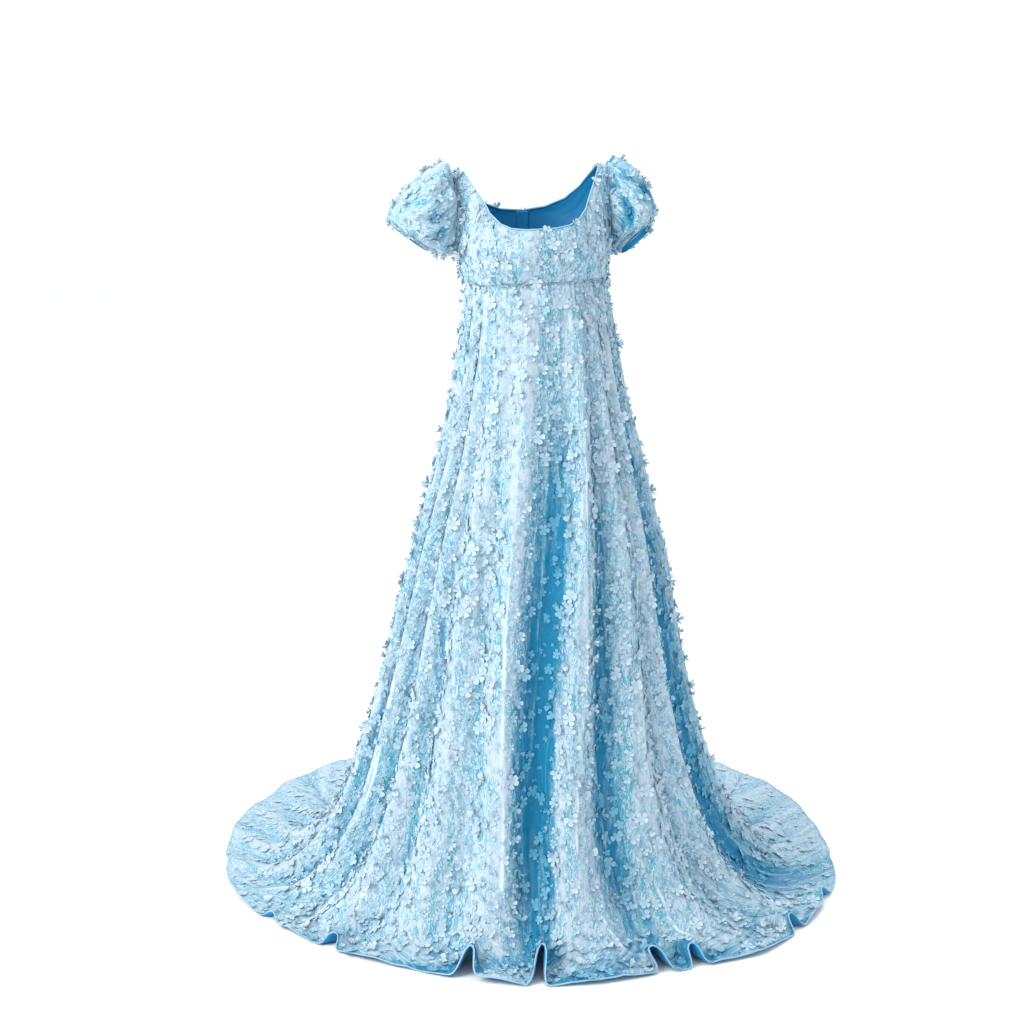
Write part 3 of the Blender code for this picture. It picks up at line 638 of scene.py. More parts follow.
def arch_lift(hem_deg, hoop):
    """How far the hem's arches lift the cloth."""
    lift = np.zeros(np.broadcast(hem_deg, hoop).shape)
    for arch in ARCHES:
        aside, up = in_arch(arch, hem_deg, hoop)
        lift = lift + arch.height * ease(ARCH_BREADTH * (1 - np.abs(aside))) * up
    return lift


def pinched(hem_deg, hoop):
    """Hem azimuths moved so that the arches bulge and lean above a narrow mouth."""
    moved = hem_deg
    for arch in ARCHES:
        aside, up = in_arch(arch, hem_deg, hoop)
        pinch = arch.half_width_deg * arch.pinch * np.sin(2 * np.pi * aside)
        moved = moved + (pinch + arch.slant_deg * ease(1 - np.abs(aside))) * up
    return moved


def main_folds(hem_deg, hoop):
    """How far the cloth's main folds stand out from the smooth form."""
    low, high, share = between_folds(leaned(hem_deg, hoop))
    form = read(SKIRT, hoop)
    inside = into_fold(share, low.narrow)
    ridges = [mix(fold.ridge, fold.hem_ridge, low_down(hoop)) for fold in (low, high)]
    ridge = mix(*ridges, ease(share)) * form.ridge_share
    offset = ridge * (1 - inside) - low.valley * form.valley_share * inside
    return offset + arch_lift(hem_deg, hoop)


def soft_creases(hem_deg, hoop):
    """Smaller folds, gathers below the seam and crumple at the hem, in crease heights."""
    turns = hem_deg / 360.0
    folds = SMALL_FOLDS.strength * waves(SMALL_FOLDS, turns, hoop)
    lines = FOLD_LINES.strength * (1 - np.abs(waves(FOLD_LINES, turns, hoop))) ** 6
    ripples = RIPPLES.strength * waves(RIPPLES, turns, hoop)
    crumple = CRUMPLE.strength * waves(CRUMPLE, turns, hoop)
    wander = SEAM_WANDER.strength * waves(SEAM_WANDER, turns, hoop)
    gathers = np.sin(np.radians(hem_deg) * SEAM_GATHERS + wander)
    fade = np.clip(hoop / 5.0, 0.15, 1.0) * mix(0.45, 1.0, 1 - low_down(hoop))
    at_seam = np.exp(-hoop * 0.9) * ease(hoop * 6)
    return (fade * (folds + lines) + ripples * (0.3 + 0.7 * fade)
            + crumple * low_down(hoop) + SEAM_GATHER_HEIGHT * gathers * at_seam)


def seam_dip(hem_deg):
    """1 on the seams between the gores, 0 away from them."""
    seams = [gore.start_deg for gore in GORES] + [GORES[-1].end_deg]
    nearest = np.min([np.abs(hem_deg - seam) for seam in seams], axis=0)
    return np.exp(-(nearest / SEAM_DIP_DEG) ** 2)


def satin_rolls(hem_deg, hoop):
    """1 along the middle of the smooth rolls, 0 beside them."""
    half_width = ROLL_HALF_WIDTH + ROLL_HEM_WIDENING * low_down(hoop)
    half_deg = np.degrees(half_width / read(SKIRT, hoop).half_width)
    height = np.zeros(np.shape(hoop))
    for roll in ROLLS:
        hoops, degrees = zip(*roll)
        aside = (hem_deg - np.interp(hoop, hoops, degrees)) / half_deg
        ends = ease((hoop - hoops[0]) * 2) * ease((hoops[-1] - hoop) * 2)
        height = np.maximum(height, np.exp(-aside ** 2) * ends)
    broken = ease(0.9 + 1.5 * noise(hem_deg / 9.0, hoop * 1.7, ROLL_BREAK_SEED))
    return height * broken * np.clip(0.30 + hoop / 9.0, 0.0, 1.0)


def relief(hem_deg, hoop, crease):
    """All that stands out from the smooth form."""
    dip = seam_dip(hem_deg) * SEAM_DIP * ease(hoop * 4)
    rolls = ROLL_HEIGHT * satin_rolls(hem_deg, hoop)
    return main_folds(hem_deg, hoop) + crease * soft_creases(hem_deg, hoop) + rolls - dip


def skirt_surface(hem_deg, hoop, crease):
    """Points of the skirt's outer face."""
    low, high, share = between_folds(hem_deg)
    seam_deg = mix(low.seam_deg, high.seam_deg, share)
    azimuth = mix(seam_deg, mix(low.hem_deg, high.hem_deg, share), ease(hoop / LAST_HOOP))
    azimuth = azimuth + pinched(hem_deg, hoop) - hem_deg
    outward = form_normals(azimuth, hoop)
    spot = skirt_form(azimuth, hoop) + outward * relief(hem_deg, hoop, crease)[..., None]
    ripple = HEM_WAVES.strength * waves(HEM_WAVES, hem_deg / 360.0, hoop)
    stray = (looked_up(STRAYS, hem_deg).reach + ripple) * low_down(hoop)
    stray = stray - ARCH_LEAN * arch_lift(hem_deg, hoop)
    away = np.radians(azimuth)
    x = spot[..., 0] + np.sin(away) * stray
    y = spot[..., 1] - np.cos(away) * stray
    return posed(x, y, np.maximum(spot[..., 2], SKIRT[-1].side_height))


def open_share(hem_deg, hoop, crease):
    """How open the cloth lies to the light: 1 on a ridge, 0 deep in a fold."""
    low, high, share = between_folds(leaned(hem_deg, hoop))
    form = read(SKIRT, hoop)
    drop = into_fold(share, 0.5 * low.narrow) * (
        mix(low.ridge, high.ridge, share) * form.ridge_share
        + low.valley * np.maximum(form.valley_share, form.ridge_share * VALLEY_SHADE))
    small = crease * soft_creases(hem_deg, hoop)
    beside = [soft_creases(wrapped(hem_deg + step), hoop) for step in BESIDE_DEG]
    raised = (small - crease * np.mean(beside, axis=0)) / CREASE_SHADE
    depth = mix(*DARK_DEPTHS, form.ridge_share)
    return np.clip(1.0 - (drop / depth) ** 1.5 + raised, 0.0, 1.0)


def round_at(span, hem_deg):
    """0 round the front, 1 beyond a span of azimuths at the sides and the back."""
    start_deg, width_deg = span
    return ease((np.abs(hem_deg) - start_deg) / width_deg)


def gore_grid(start_deg, end_deg, hoops, crease, samples=500):
    """Hem azimuths and hoops of a dense mesh over part of the skirt."""
    across = np.linspace(start_deg, end_deg, samples)
    hem = skirt_surface(across, np.full(samples, float(hoops[1])), crease)
    along = np.linspace(*hoops, samples)
    middle = skirt_surface(np.full(samples, (start_deg + end_deg) / 2), along, crease)
    return np.meshgrid(evenly(across, hem, CLOTH_STEP), evenly(along, middle, CLOTH_STEP))


# ---------------------------------------------------------------- bodice
def trunk_at(height):
    """The bodice's form at some heights."""
    position = np.interp(height, [row.height for row in TRUNK], np.arange(len(TRUNK)))
    return read(TRUNK, position)


def trunk(azimuth_deg, height):
    """Points of the bodice's form."""
    form = trunk_at(height)
    half_width = form.half_width
    azimuth = np.radians(azimuth_deg)
    middle = (form.back - form.front) / 2
    depth = (form.back + form.front) / 2
    for cup in CUPS:
        aside = ((azimuth_deg - cup.azimuth_deg) / cup.half_angle_deg) ** 2
        above = ((form.height - cup.height) / cup.half_height) ** 2
        fullness = cup.fullness * np.exp(-aside - above)
        half_width = half_width + fullness * np.abs(np.sin(azimuth))
        depth = depth + fullness * np.cos(azimuth)
    return posed(half_width * np.sin(azimuth), middle - depth * np.cos(azimuth),
                 form.height)


def azimuth_of_x(x, height, at_back):
    """Azimuths of points of the bodice's form, by their distance from the middle."""
    azimuth = np.degrees(np.arcsin(np.minimum(x / trunk_at(height).half_width, 1.0)))
    return 180.0 - azimuth if at_back else azimuth


def side_panel(side, at_back, column_count, row_count):
    """A grid of points over a side front or a back, from the waist to the shoulder."""
    table = BACK if at_back else SIDE_FRONT
    edges = read_straight(table, np.linspace(0.0, len(table) - 1, row_count))
    inner_deg = azimuth_of_x(edges.inner_x, edges.inner_height, at_back)
    outer_deg = 180.0 - edges.outer_deg if at_back else edges.outer_deg
    share = np.linspace(0.0, 1.0, column_count)[None, :]
    azimuth = mix(inner_deg[:, None], outer_deg[:, None], share)
    height = mix(edges.inner_height[:, None], edges.outer_height[:, None], share)
    return trunk(SIDES[side] * azimuth, height)


def centre_panel(column_count, row_count):
    """A grid of points over the centre front, from the waist to the neckline."""
    seam = read_straight(SIDE_FRONT, np.linspace(0.0, PRINCESS_ROWS, row_count))
    corner = NECKLINE[-1]
    share = (seam.inner_height - WAIST_HEIGHT) / (corner.height - WAIST_HEIGHT)
    seam_deg = azimuth_of_x(seam.inner_x, seam.inner_height, False)
    across = np.linspace(-1.0, 1.0, column_count)
    edge = looked_up(NECKLINE, np.abs(across) * corner.x).height
    height = mix(WAIST_HEIGHT, edge[None, :], share[:, None])
    return trunk(across[None, :] * seam_deg[:, None], height)


def panel_creases(points, seed, ribs):
    """Height of the small creases of a bodice panel, in crease heights."""
    row_count, column_count = points.shape[:2]
    across, along = np.meshgrid(np.arange(column_count), np.arange(row_count))
    edge = np.minimum.reduce([across, column_count - 1 - across, along,
                              row_count - 1 - along])

    def bumps(size, after):
        return noise(across / size[0], along / size[1], seed + after)

    pull = bumps(PULL_BUMP, 0) * PULL_STRENGTH
    ribbing = np.abs(bumps(RIB_BUMP, 1)) * ribs
    puckers = np.abs(bumps(PUCKER_BUMP, 2)) * PUCKER_STRENGTH * np.exp(-along / PUCKER_ROWS)
    sunk = (1 - ease(edge / 2)) * EDGE_SINK
    return ease(edge / 4) * (pull + ribbing + puckers) - sunk


# ---------------------------------------------------------------- sleeves
def armhole_edge(side, at_back):
    """The armhole side of a side front or back, from the top, with its outward way."""
    between = 10             # rows of points to a row of the table
    row_count = between * (len(SIDE_FRONT) - 1) + 1
    edge = side_panel(side, at_back, 8, row_count)[SIDE_SEAM_ROWS * between:][::-1]
    return edge[:, -1], unit(edge[:, -1] - edge[:, -2])


def armhole_ring(side, turns):
    """Points just outside the armhole; turns run from the top over the front."""
    halves = []
    for at_back, share in ((False, 2 * turns), (True, 2 - 2 * turns)):
        edge, outward = armhole_edge(side, at_back)
        share = np.clip(share, 0, 1)
        halves.append(along_line(edge, share)
                      + along_line(edge, share, outward) * SEAM_GAP)
    return np.where((turns <= 0.5)[:, None], *halves)


def sleeve_rings(side, column_count):
    """The rings of a sleeve, from the armhole to the cuff, as an array of points."""
    turns = np.arange(column_count) / column_count
    angle = 2 * np.pi * turns
    wander = GATHER_WANDER * (np.sin(2 * angle + 0.7) + 0.6 * np.sin(3 * angle + 2.1))
    fullness = mix(UNDERARM_GATHER, 1.0, 0.5 + 0.5 * np.cos(angle))
    gathers = fullness * np.cos(SLEEVE_GATHERS * angle + wander)
    rings = [armhole_ring(side, turns)]
    for ring, depth in zip(SLEEVES[side], GATHER_DEPTHS):
        high = np.array((ring.high_x, 0.0, ring.high_height))
        low = np.array((ring.low_x, 0.0, ring.low_height))
        forward = ring.half_depth * np.sin(angle)
        offset = (high - low) / 2 * np.cos(angle)[:, None]
        offset[:, 1] -= forward
        offset[:, 2] += forward * ring.rise
        offset *= (1 + gathers * depth / np.linalg.norm(offset, axis=1))[:, None]
        spot = (high + low) / 2 + offset
        rings.append(posed(SIDES[side] * spot[:, 0], ring.middle_y + spot[:, 1],
                           spot[:, 2]))
    return np.array(rings)


def sleeve_puff(side, column_count, row_count, crease):
    """A dense sleeve: its points, and how open they lie to the light."""
    rings = sleeve_rings(side, column_count)
    position = np.linspace(0.0, len(rings) - 1, row_count)
    points = smooth_rows(rings, position)
    turns, ring = np.meshgrid(np.arange(column_count) / column_count, position)
    angle_deg = wrapped(turns * 360.0)
    free = ease(ring / 0.8) * ease((len(rings) - 1 - ring) / 0.8)
    above = mix(0.35, 1.0, 0.5 + 0.5 * np.cos(np.radians(angle_deg)))
    furrows = (1 - np.abs(waves(SLEEVE_FURROWS, turns, ring))) ** 2
    fans = np.abs(waves(SLEEVE_FANS, turns, ring)) * (1 - free * 0.6)
    lumps = waves(SLEEVE_LUMPS, turns, ring)
    height = crease * above * free * (SLEEVE_FURROWS.strength * furrows
                                      + SLEEVE_FANS.strength * fans
                                      + SLEEVE_LUMPS.strength * lumps)
    for dent in SLEEVE_CREASES[side]:
        middle = dent.angle_deg + dent.slant_deg * (ring - dent.ring)
        aside = wrapped(angle_deg - middle) / dent.half_angle_deg
        below = (ring - dent.ring) / dent.half_rings
        height -= dent.depth * free * np.exp(-aside ** 2 - below ** 2)
    points = points + outward_normals(points, closed=True)[0] * height[..., None]
    # Painted light share: lighter on the lumps, painted shade in the dents and near the
    # armhole, and the left sleeve painted in more shade all over.
    painted_root_shade = 1 - 0.12 * (1 - ease(ring / 0.9))
    return points, np.clip(SLEEVE_LIGHT[side] + height / 0.016, 0.0, 1.0) * painted_root_shade


def cuff_band(side, column_count):
    """A cuff's rings of points, ribbed where the elastic gathers it."""
    last = sleeve_rings(side, column_count)[-1]
    centre = last.mean(axis=0)
    down = unit(np.cross(last[0] - centre, last[column_count // 4] - centre))
    if down[2] > 0:
        down = -down
    away = last - centre
    away = unit(away - np.outer(away @ down, down))
    angle = 2 * np.pi * np.arange(column_count) / column_count
    rings = []
    for share in np.linspace(0.0, 1.0, CUFF_ROWS):
        middle = math.sin(share * math.pi)
        rib = CUFF_RIB_HEIGHT * np.cos(CUFF_RIBS * angle) * (1 - 0.5 * middle)
        rings.append(last + down * (SEAM_GAP + share * CUFF_WIDTH)
                     + away * (rib + CUFF_SWELL * middle)[:, None])
    return np.array(rings)


# ---------------------------------------------------------------- node trees
class Value:
    """A node's output, which Python expressions can use."""

    def __init__(self, tree, node, output=0):
        self.tree = tree
        self.node = node
        self.socket = node.outputs[output] if node.outputs else None

    def other(self, output):
        """Another output of the same node."""
        return Value(self.tree, self.node, output)

    def __add__(self, other):
        return self.tree.maths("ADD", self, other)

    def __sub__(self, other):
        return self.tree.maths("SUBTRACT", self, other)

    def __rsub__(self, other):
        return self.tree.maths("SUBTRACT", other, self)

    def __mul__(self, other):
        return self.tree.maths("MULTIPLY", self, other)

    __radd__ = __add__
    __rmul__ = __mul__


class Tree:
    """The nodes that are added to a material or to a geometry group."""

    def __init__(self, node_tree):
        self.node_tree = node_tree

    def node(self, kind, settings=None, inputs=None, output=0):
        """A node with its settings and inputs, and the value of one output."""
        made = self.node_tree.nodes.new(kind)
        for name, setting in (settings or {}).items():
            setattr(made, name, setting)
        for name, value in (inputs or {}).items():
            self.fill(made.inputs[name], value)
        return Value(self, made, output)

    def fill(self, socket, value):
        """Link or set a socket."""
        if isinstance(value, Value):
            self.node_tree.links.new(value.socket, socket)
        else:
            socket.default_value = value

    def maths(self, operation, *values):
        """A Math node."""
        return self.node("ShaderNodeMath", {"operation": operation},
                         dict(enumerate(values)))

    def scaled(self, vector, scale):
        """A vector multiplied by another."""
        return self.node("ShaderNodeVectorMath", {"operation": "MULTIPLY"},
                         {0: vector, 1: scale})


class Paint(Tree):
    """A material and the nodes that are added to it."""

    def __init__(self, name):
        self.material = bpy.data.materials.new(name)
        self.material.use_nodes = True
        super().__init__(self.material.node_tree)
        self.shader = self.node_tree.nodes["Principled BSDF"]

    def blend(self, share, low, high):
        """One colour mixed into another."""
        return self.node("ShaderNodeMix", {"data_type": "RGBA", "clamp_factor": True},
                         {0: share, 6: low, 7: high}, output=2)

    def step(self, value, low, high):
        """A smooth step from 0 at low to 1 at high."""
        return self.node("ShaderNodeMapRange", {"interpolation_type": "SMOOTHSTEP"},
                         {0: value, 1: low, 2: high, 3: 0.0, 4: 1.0})

    def grain(self, vector, scale, detail, distortion=0.0, roughness=0.5):
        """Noise between 0 and 1, with so many bumps to a metre each way."""
        return self.node("ShaderNodeTexNoise", None,
                         {"Vector": self.scaled(vector, scale), "Scale": 1.0,
                          "Detail": detail, "Roughness": roughness,
                          "Distortion": distortion})

    def thin_lines(self, grain, low, high):
        """1 on the lines where a grain is at its middle, 0 away from them."""
        return 1 - self.step(self.maths("ABSOLUTE", grain - 0.5), low, high)

    def attribute(self, name):
        """A number stored on the cloth."""
        return self.node("ShaderNodeAttribute", {"attribute_name": name}, None, output=2)

    def cloth_place(self):
        """The place on the cut cloth, in metres across and along its grain."""
        return self.node("ShaderNodeUVMap", {"uv_map": "grain"})

    def place(self):
        """The place in the frame."""
        return self.node("ShaderNodeTexCoord", None, None, output=3)

    def finish(self, bump=None, distance=0.001, specular=0.5, **values):
        """Fill the shader's sockets; words joined by _ are the sockets' names."""
        self.shader.inputs["Specular IOR Level"].default_value = specular
        for name, value in values.items():
            self.fill(self.shader.inputs[name.replace("_", " ").title()], value)
        if bump is not None:
            normal = self.node("ShaderNodeBump", None,
                               {"Strength": 1.0, "Distance": distance, "Height": bump})
            self.fill(self.shader.inputs["Normal"], normal)
        return self.material


class Maker(Tree):
    """A geometry group with named inputs, which makes a piece in one finish."""

    def __init__(self, name, **inputs):
        super().__init__(bpy.data.node_groups.new(name, "GeometryNodeTree"))
        for label, kind in {"Geometry": "Geometry", **inputs, "Finish": "Material"}.items():
            self.socket("INPUT", label, kind)
        self.socket("OUTPUT", "Geometry", "Geometry")
        self.given = self.node("NodeGroupInput")

    def socket(self, in_out, label, kind):
        """A socket of the group itself."""
        self.node_tree.interface.new_socket(label, in_out=in_out,
                                            socket_type="NodeSocket" + kind)

    def chance(self, kind, low, high):
        """A random value; the node has other sockets for each kind."""
        first, output = {"FLOAT_VECTOR": (0, 0), "FLOAT": (2, 1), "INT": (4, 2)}[kind]
        return self.node("FunctionNodeRandomValue", {"data_type": kind},
                         {first: low, first + 1: high, "Seed": self.given.other("Seed")},
                         output=output)

    def vector(self, x, y, z):
        """Three numbers as a vector."""
        return self.node("ShaderNodeCombineXYZ", None, {"X": x, "Y": y, "Z": z})

    def finish(self, points, shape, rotation, scale, **inputs):
        """Put a real copy of a shape on each point and give it the group's finish."""
        placed = self.node("GeometryNodeInstanceOnPoints", None,
                           {"Points": points, "Instance": shape, "Rotation": rotation,
                            "Scale": scale, **inputs})
        real = self.node("GeometryNodeRealizeInstances", None, {"Geometry": placed})
        dressed = self.node("GeometryNodeSetMaterial", None,
                            {"Geometry": real, "Material": self.given.other("Finish")})
        self.node("NodeGroupOutput", None, {0: dressed})

    def run(self, name, data, **values):
        """A plain piece that the group makes from a mesh."""
        piece = linked(name, data)
        maker = piece.modifiers.new("maker", "NODES")
        maker.node_group = self.node_tree
        for item in self.node_tree.interface.items_tree:
            if item.in_out == "INPUT" and item.name in values:
                maker[item.identifier] = values[item.name]
        return plain(piece)


# ---------------------------------------------------------------- finishes
# Grains of the ribbon work, in bumps to a metre across and along the cloth.
RIBBON_GRAINS = make_table(
    "scale detail distortion roughness",
    ((125.0, 48.0, 1.0), 2.0, 1.3, 0.5),       # the ribbons' wavy lines
    ((85.0, 30.0, 1.0), 3.0, 0.9, 0.6),        # patches of close ribbons
    ((430.0, 95.0, 1.0), 2.0, 0.8, 0.5),       # glints on their threads
    ((64.0, 6.5, 1.0), 3.0, 0.5, 0.5),         # streaks down the cloth
    # The fine creases below are painted highlight lines only.
    ((24.0, 2.2, 1.0), 1.0, 0.3, 0.5),         # fine creases
    ((11.0, 6.0, 1.0), 2.0, 0.8, 0.5),         # bare patches
    ((30.0, 1.6, 1.0), 2.0, 0.2, 0.65),        # lighter and darker bands
)


def dress_fabric(colours):
    """Satin covered with wavy ribbon threads that run down the cloth, with painted shade in
    its folds and painted highlights on its rolls and creases.
    """
    paint = Paint("ribbon_satin")
    where = paint.cloth_place()
    lit = paint.attribute("fold")
    wander, patches, glints, streaks, crease, bare, bands = (
        paint.grain(where, **row._asdict()) for row in RIBBON_GRAINS)
    ribbon = paint.thin_lines(wander, 0.012, 0.085)
    # Painted highlights: thin bright lines along fine creases and along the smooth rolls
    # (silk), which the same mask also makes glossier.
    painted_crease_highlight = paint.thin_lines(crease, 0.003, 0.024)
    silk = paint.step(paint.attribute("silk"), 0.35, 0.85)
    gloss_and_painted_highlight = paint.maths("MAXIMUM", painted_crease_highlight * 0.25, silk)
    bare = paint.step(bare, 0.55, 0.68)
    ribbons = ribbon * 0.34 + patches * 0.36 + glints * 0.24 + streaks * 0.24
    bright = paint.step(ribbons, 0.40, 0.78)
    flat = 1 - paint.attribute("density")
    bands = paint.step(bands, 0.36, 0.66)
    # Painted light: the cloth's own ribbons, bands and bare patches, lighter where lit is
    # high, and lighter still where the flowers thin out on the spread train.
    light = bright * 0.80 + bands * 0.55 - 0.24 + lit * 0.40
    light = light - bare * 0.42 + flat * lit * 0.35 - 0.13
    base = paint.blend(light, tuple(colours.satin), tuple(colours.pale))
    # Painted shade: the deep satin where lit is low in the folds, its edge broken by the
    # streaks and patches.
    painted_fold_shade = paint.step((1 - lit) + (streaks - 0.5) * 0.9 + (patches - 0.5) * 0.7,
                        0.24, 0.90)
    gaps = paint.step(1 - ribbons, 0.42, 0.66)
    # The gaps between the ribbons take the shaded satin colour: a painted shade, stronger
    # in the folds.
    base = paint.blend(gaps * (painted_fold_shade * 0.3 + (1 - bands) * 0.45 + 0.22), base,
                       tuple(colours.gap))
    # Paint the deep satin into the folds as shade.
    base = paint.blend(painted_fold_shade * 0.96, base, tuple(colours.deep))
    # Paint the highlight colour on the rolls and creases, weaker in the painted fold shade.
    base = paint.blend(gloss_and_painted_highlight * (1 - painted_fold_shade * 0.7) * 0.8, base, tuple(colours.gloss_and_painted_highlight))
    return paint.finish(bump=ribbons * (1 - silk) * (1 - flat * 0.7), distance=0.0026,
                        specular=0.14, base_color=base,
                        roughness=0.48 - bright * 0.14 - gloss_and_painted_highlight * 0.16,
                        coat_weight=(bright * 0.18 + gloss_and_painted_highlight * 0.35) * lit,
                        coat_roughness=0.22, sheen_weight=0.02, sheen_roughness=0.4)


def plain_satin(name, tint, rough):
    """Plain woven satin with a soft sheen."""
    paint = Paint(name)
    where = paint.place()
    weave = paint.grain(where, (900.0, 900.0, 260.0), 1.0)
    cloud = paint.grain(where, (9.0, 9.0, 5.0), 2.0, 0.6)
    darker = tuple(channel * 0.72 for channel in tint[:3]) + (1.0,)
    return paint.finish(bump=weave, distance=0.0002, specular=0.25,
                        base_color=paint.blend(cloud, darker, tuple(tint)),
                        roughness=rough + weave * 0.1, sheen_weight=0.03)


def petal_fabric(colours):
    """Thin pale petals, with painted shade that makes them bluer at their hearts and down
    in the folds.
    """
    paint = Paint("petal_organza")
    veins = paint.grain(paint.place(), (340.0, 340.0, 340.0), 2.0, 0.5)
    # Each flower's own random tone, with painted shade at the heart and on the undersides
    # through reach.
    outer = paint.attribute("reach") * 0.75 + paint.attribute("tone") * 0.45 - 0.15
    base = paint.blend(outer, tuple(colours.petal_shade), tuple(colours.petal))
    # Painted shade on the petals that lie deep in the folds of the cloth.
    down = paint.step(1 - paint.attribute("fold"), 0.25, 0.95)
    base = paint.blend(down * 0.84, base, tuple(colours.petal_fold_shade))
    return paint.finish(bump=veins, distance=0.0004, specular=0.20, base_color=base,
                        roughness=0.50 + veins * 0.15, sheen_weight=0.06)


def studio_floor(colours):
    """Matt pale floor."""
    paint = Paint("studio_floor")
    grain = paint.grain(paint.place(), (6.0, 6.0, 6.0), 2.0)
    base = paint.blend(grain * 0.3, tuple(colours.floor), tuple(colours.floor_light))
    return paint.finish(base_color=base, roughness=0.8)


FINISHES = {
    "dress": dress_fabric,
    "lining": lambda colours: plain_satin("lining_satin", colours.lining, 0.42),
    "edge": lambda colours: plain_satin("edge_satin", colours.edge, 0.34),
    "petal": petal_fabric,
    "floor": studio_floor,
}
MADE_FINISHES = {}


def finish_of(name):
    """A finish, made when it is first asked for."""
    if name not in MADE_FINISHES:
        MADE_FINISHES[name] = FINISHES[name](bpy.context.scene.gown_colours)
    return MADE_FINISHES[name]


# ---------------------------------------------------------------- making pieces
Fabric = namedtuple("Fabric", "slot outside inside rim")
DRESS = Fabric("dress_fabric", "dress", "lining", "edge")
SATIN = Fabric("facing_satin", "lining", "lining", "lining")


def linked(name, data):
    """A new object in the scene."""
    made = bpy.data.objects.new(name, data)
    bpy.context.scene.collection.objects.link(made)
    return made


def baked(source):
    """The mesh that an object evaluates to, with nothing below the floor."""
    evaluated = source.evaluated_get(bpy.context.evaluated_depsgraph_get())
    data = bpy.data.meshes.new_from_object(evaluated)
    spots = np.zeros(len(data.vertices) * 3, np.float32)
    data.vertices.foreach_get("co", spots)
    spots[2::3] = np.maximum(spots[2::3], FLOOR_CLEARANCE - SHOULDER_HEIGHT)
    data.vertices.foreach_set("co", spots)
    data.update()
    return data


def plain(piece):
    """Apply the modifiers of a piece."""
    data = baked(piece)
    piece.modifiers.clear()
    old = piece.data
    piece.data = data
    bpy.data.meshes.remove(old)
    data.name = piece.name
    return piece


def store(data, label, values):
    """Keep a number for each point of a mesh."""
    layer = data.attributes.new(label, "FLOAT", "POINT")
    layer.data.foreach_set("value", np.ravel(values).astype(np.float32))


def quads(row_count, column_count, closed, flip):
    """The faces of a grid of points."""
    across = column_count if closed else column_count - 1
    row, column = np.meshgrid(np.arange(row_count - 1), np.arange(across), indexing="ij")
    beside = (column + 1) % column_count
    corners = [row * column_count + column, (row + 1) * column_count + column,
               (row + 1) * column_count + beside, row * column_count + beside]
    if flip:
        corners.reverse()
    return np.stack(corners, axis=-1).reshape(-1, 4)


def grain_of(points):
    """Distances across and along the cloth, from its middle column and first row."""
    middle = points.shape[1] // 2
    across = np.linalg.norm(np.diff(points, axis=1), axis=-1)
    across = np.concatenate((np.zeros((len(points), 1)), np.cumsum(across, axis=1)), axis=1)
    across -= across[:, middle:middle + 1]
    along = np.linalg.norm(np.diff(points, axis=0), axis=-1)
    along = np.concatenate((np.zeros((1, points.shape[1])), np.cumsum(along, axis=0)))
    return across, along


def unrolled(corner_place):
    """Keep the last faces of a closed tube from spanning its whole width."""
    faces = corner_place.reshape(-1, 4, 2).copy()
    width = np.ptp(corner_place[:, 0])
    for face in faces[np.ptp(faces[:, :, 0], axis=1) > width / 2]:
        face[face[:, 0] < np.mean(face[:, 0]), 0] += width
    return faces.reshape(-1, 2)


def cloth_object(name, points, closed=False, **looks):
    """An open sheet of cloth through a grid of points, its faces turned outwards."""
    data = bpy.data.meshes.new(name)
    faces = quads(*points.shape[:2], closed, outward_normals(points, closed)[1])
    data.from_pydata(points.reshape(-1, 3).tolist(), [], faces.tolist())
    place = np.stack(grain_of(points), axis=-1).reshape(-1, 2)
    corner_place = place[faces.reshape(-1)]
    if closed:
        corner_place = unrolled(corner_place)
    layer = data.uv_layers.new(name="grain")
    layer.data.foreach_set("uv", corner_place.astype(np.float32).ravel())
    # fold is a painted light share, 1 fully lit and 0 in full painted shade; silk marks the
    # rolls that get a painted highlight; density thins the flowers.
    for label, values in {"fold": 1.0, "silk": 0.0, "density": 1.0, **looks}.items():
        store(data, label, np.broadcast_to(values, points.shape[:2]))
    data.shade_smooth()
    return linked(name, data)


def thickened(piece, fabric, depth):
    """Give a sheet its wall, inwards, with a finish for each side and for its edge."""
    for finish in (fabric.outside, fabric.inside, fabric.rim):
        piece.data.materials.append(finish_of(finish))
    wall = piece.modifiers.new("wall", "SOLIDIFY")
    wall.thickness = depth
    wall.offset = -1.0
    wall.material_offset = 1
    wall.material_offset_rim = 2
    return plain(piece)


def hand_in(piece, nodes=()):
    """Seat a piece in the frame."""
    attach(piece, BODY)
    if nodes:
        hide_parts(*nodes)


def cut_size(points):
    """The flat width, length and area of a cut piece of cloth."""
    across, along = grain_of(points)
    a = points[1:, :-1] - points[:-1, :-1]
    b = points[:-1, 1:] - points[:-1, :-1]
    area = float(np.linalg.norm(np.cross(a, b), axis=-1).sum())
    return float(np.ptp(across)), float(along.max()), area


def declare_sheet(points):
    """Work out the flat size and area of a cut piece of cloth; nothing is done with them.
    """
    width, long, area = cut_size(points)
    area = max(area, LEAST_AREA_SHARE * width * long)


def sew(name, points, fabric, depth, node, held, rests_on, closeness=0.0, **looks):
    """A piece of cloth over its solid; closeness is that of its flowers, 0 for none."""
    piece = cloth_object(name, points, **looks)
    if closeness:
        SCATTERED.append((name + "_flowers", piece.data.copy(), closeness,
                          len(SCATTERED) * 10 + 3))
    hand_in(thickened(piece, fabric, depth), [node])
    declare_sheet(points)


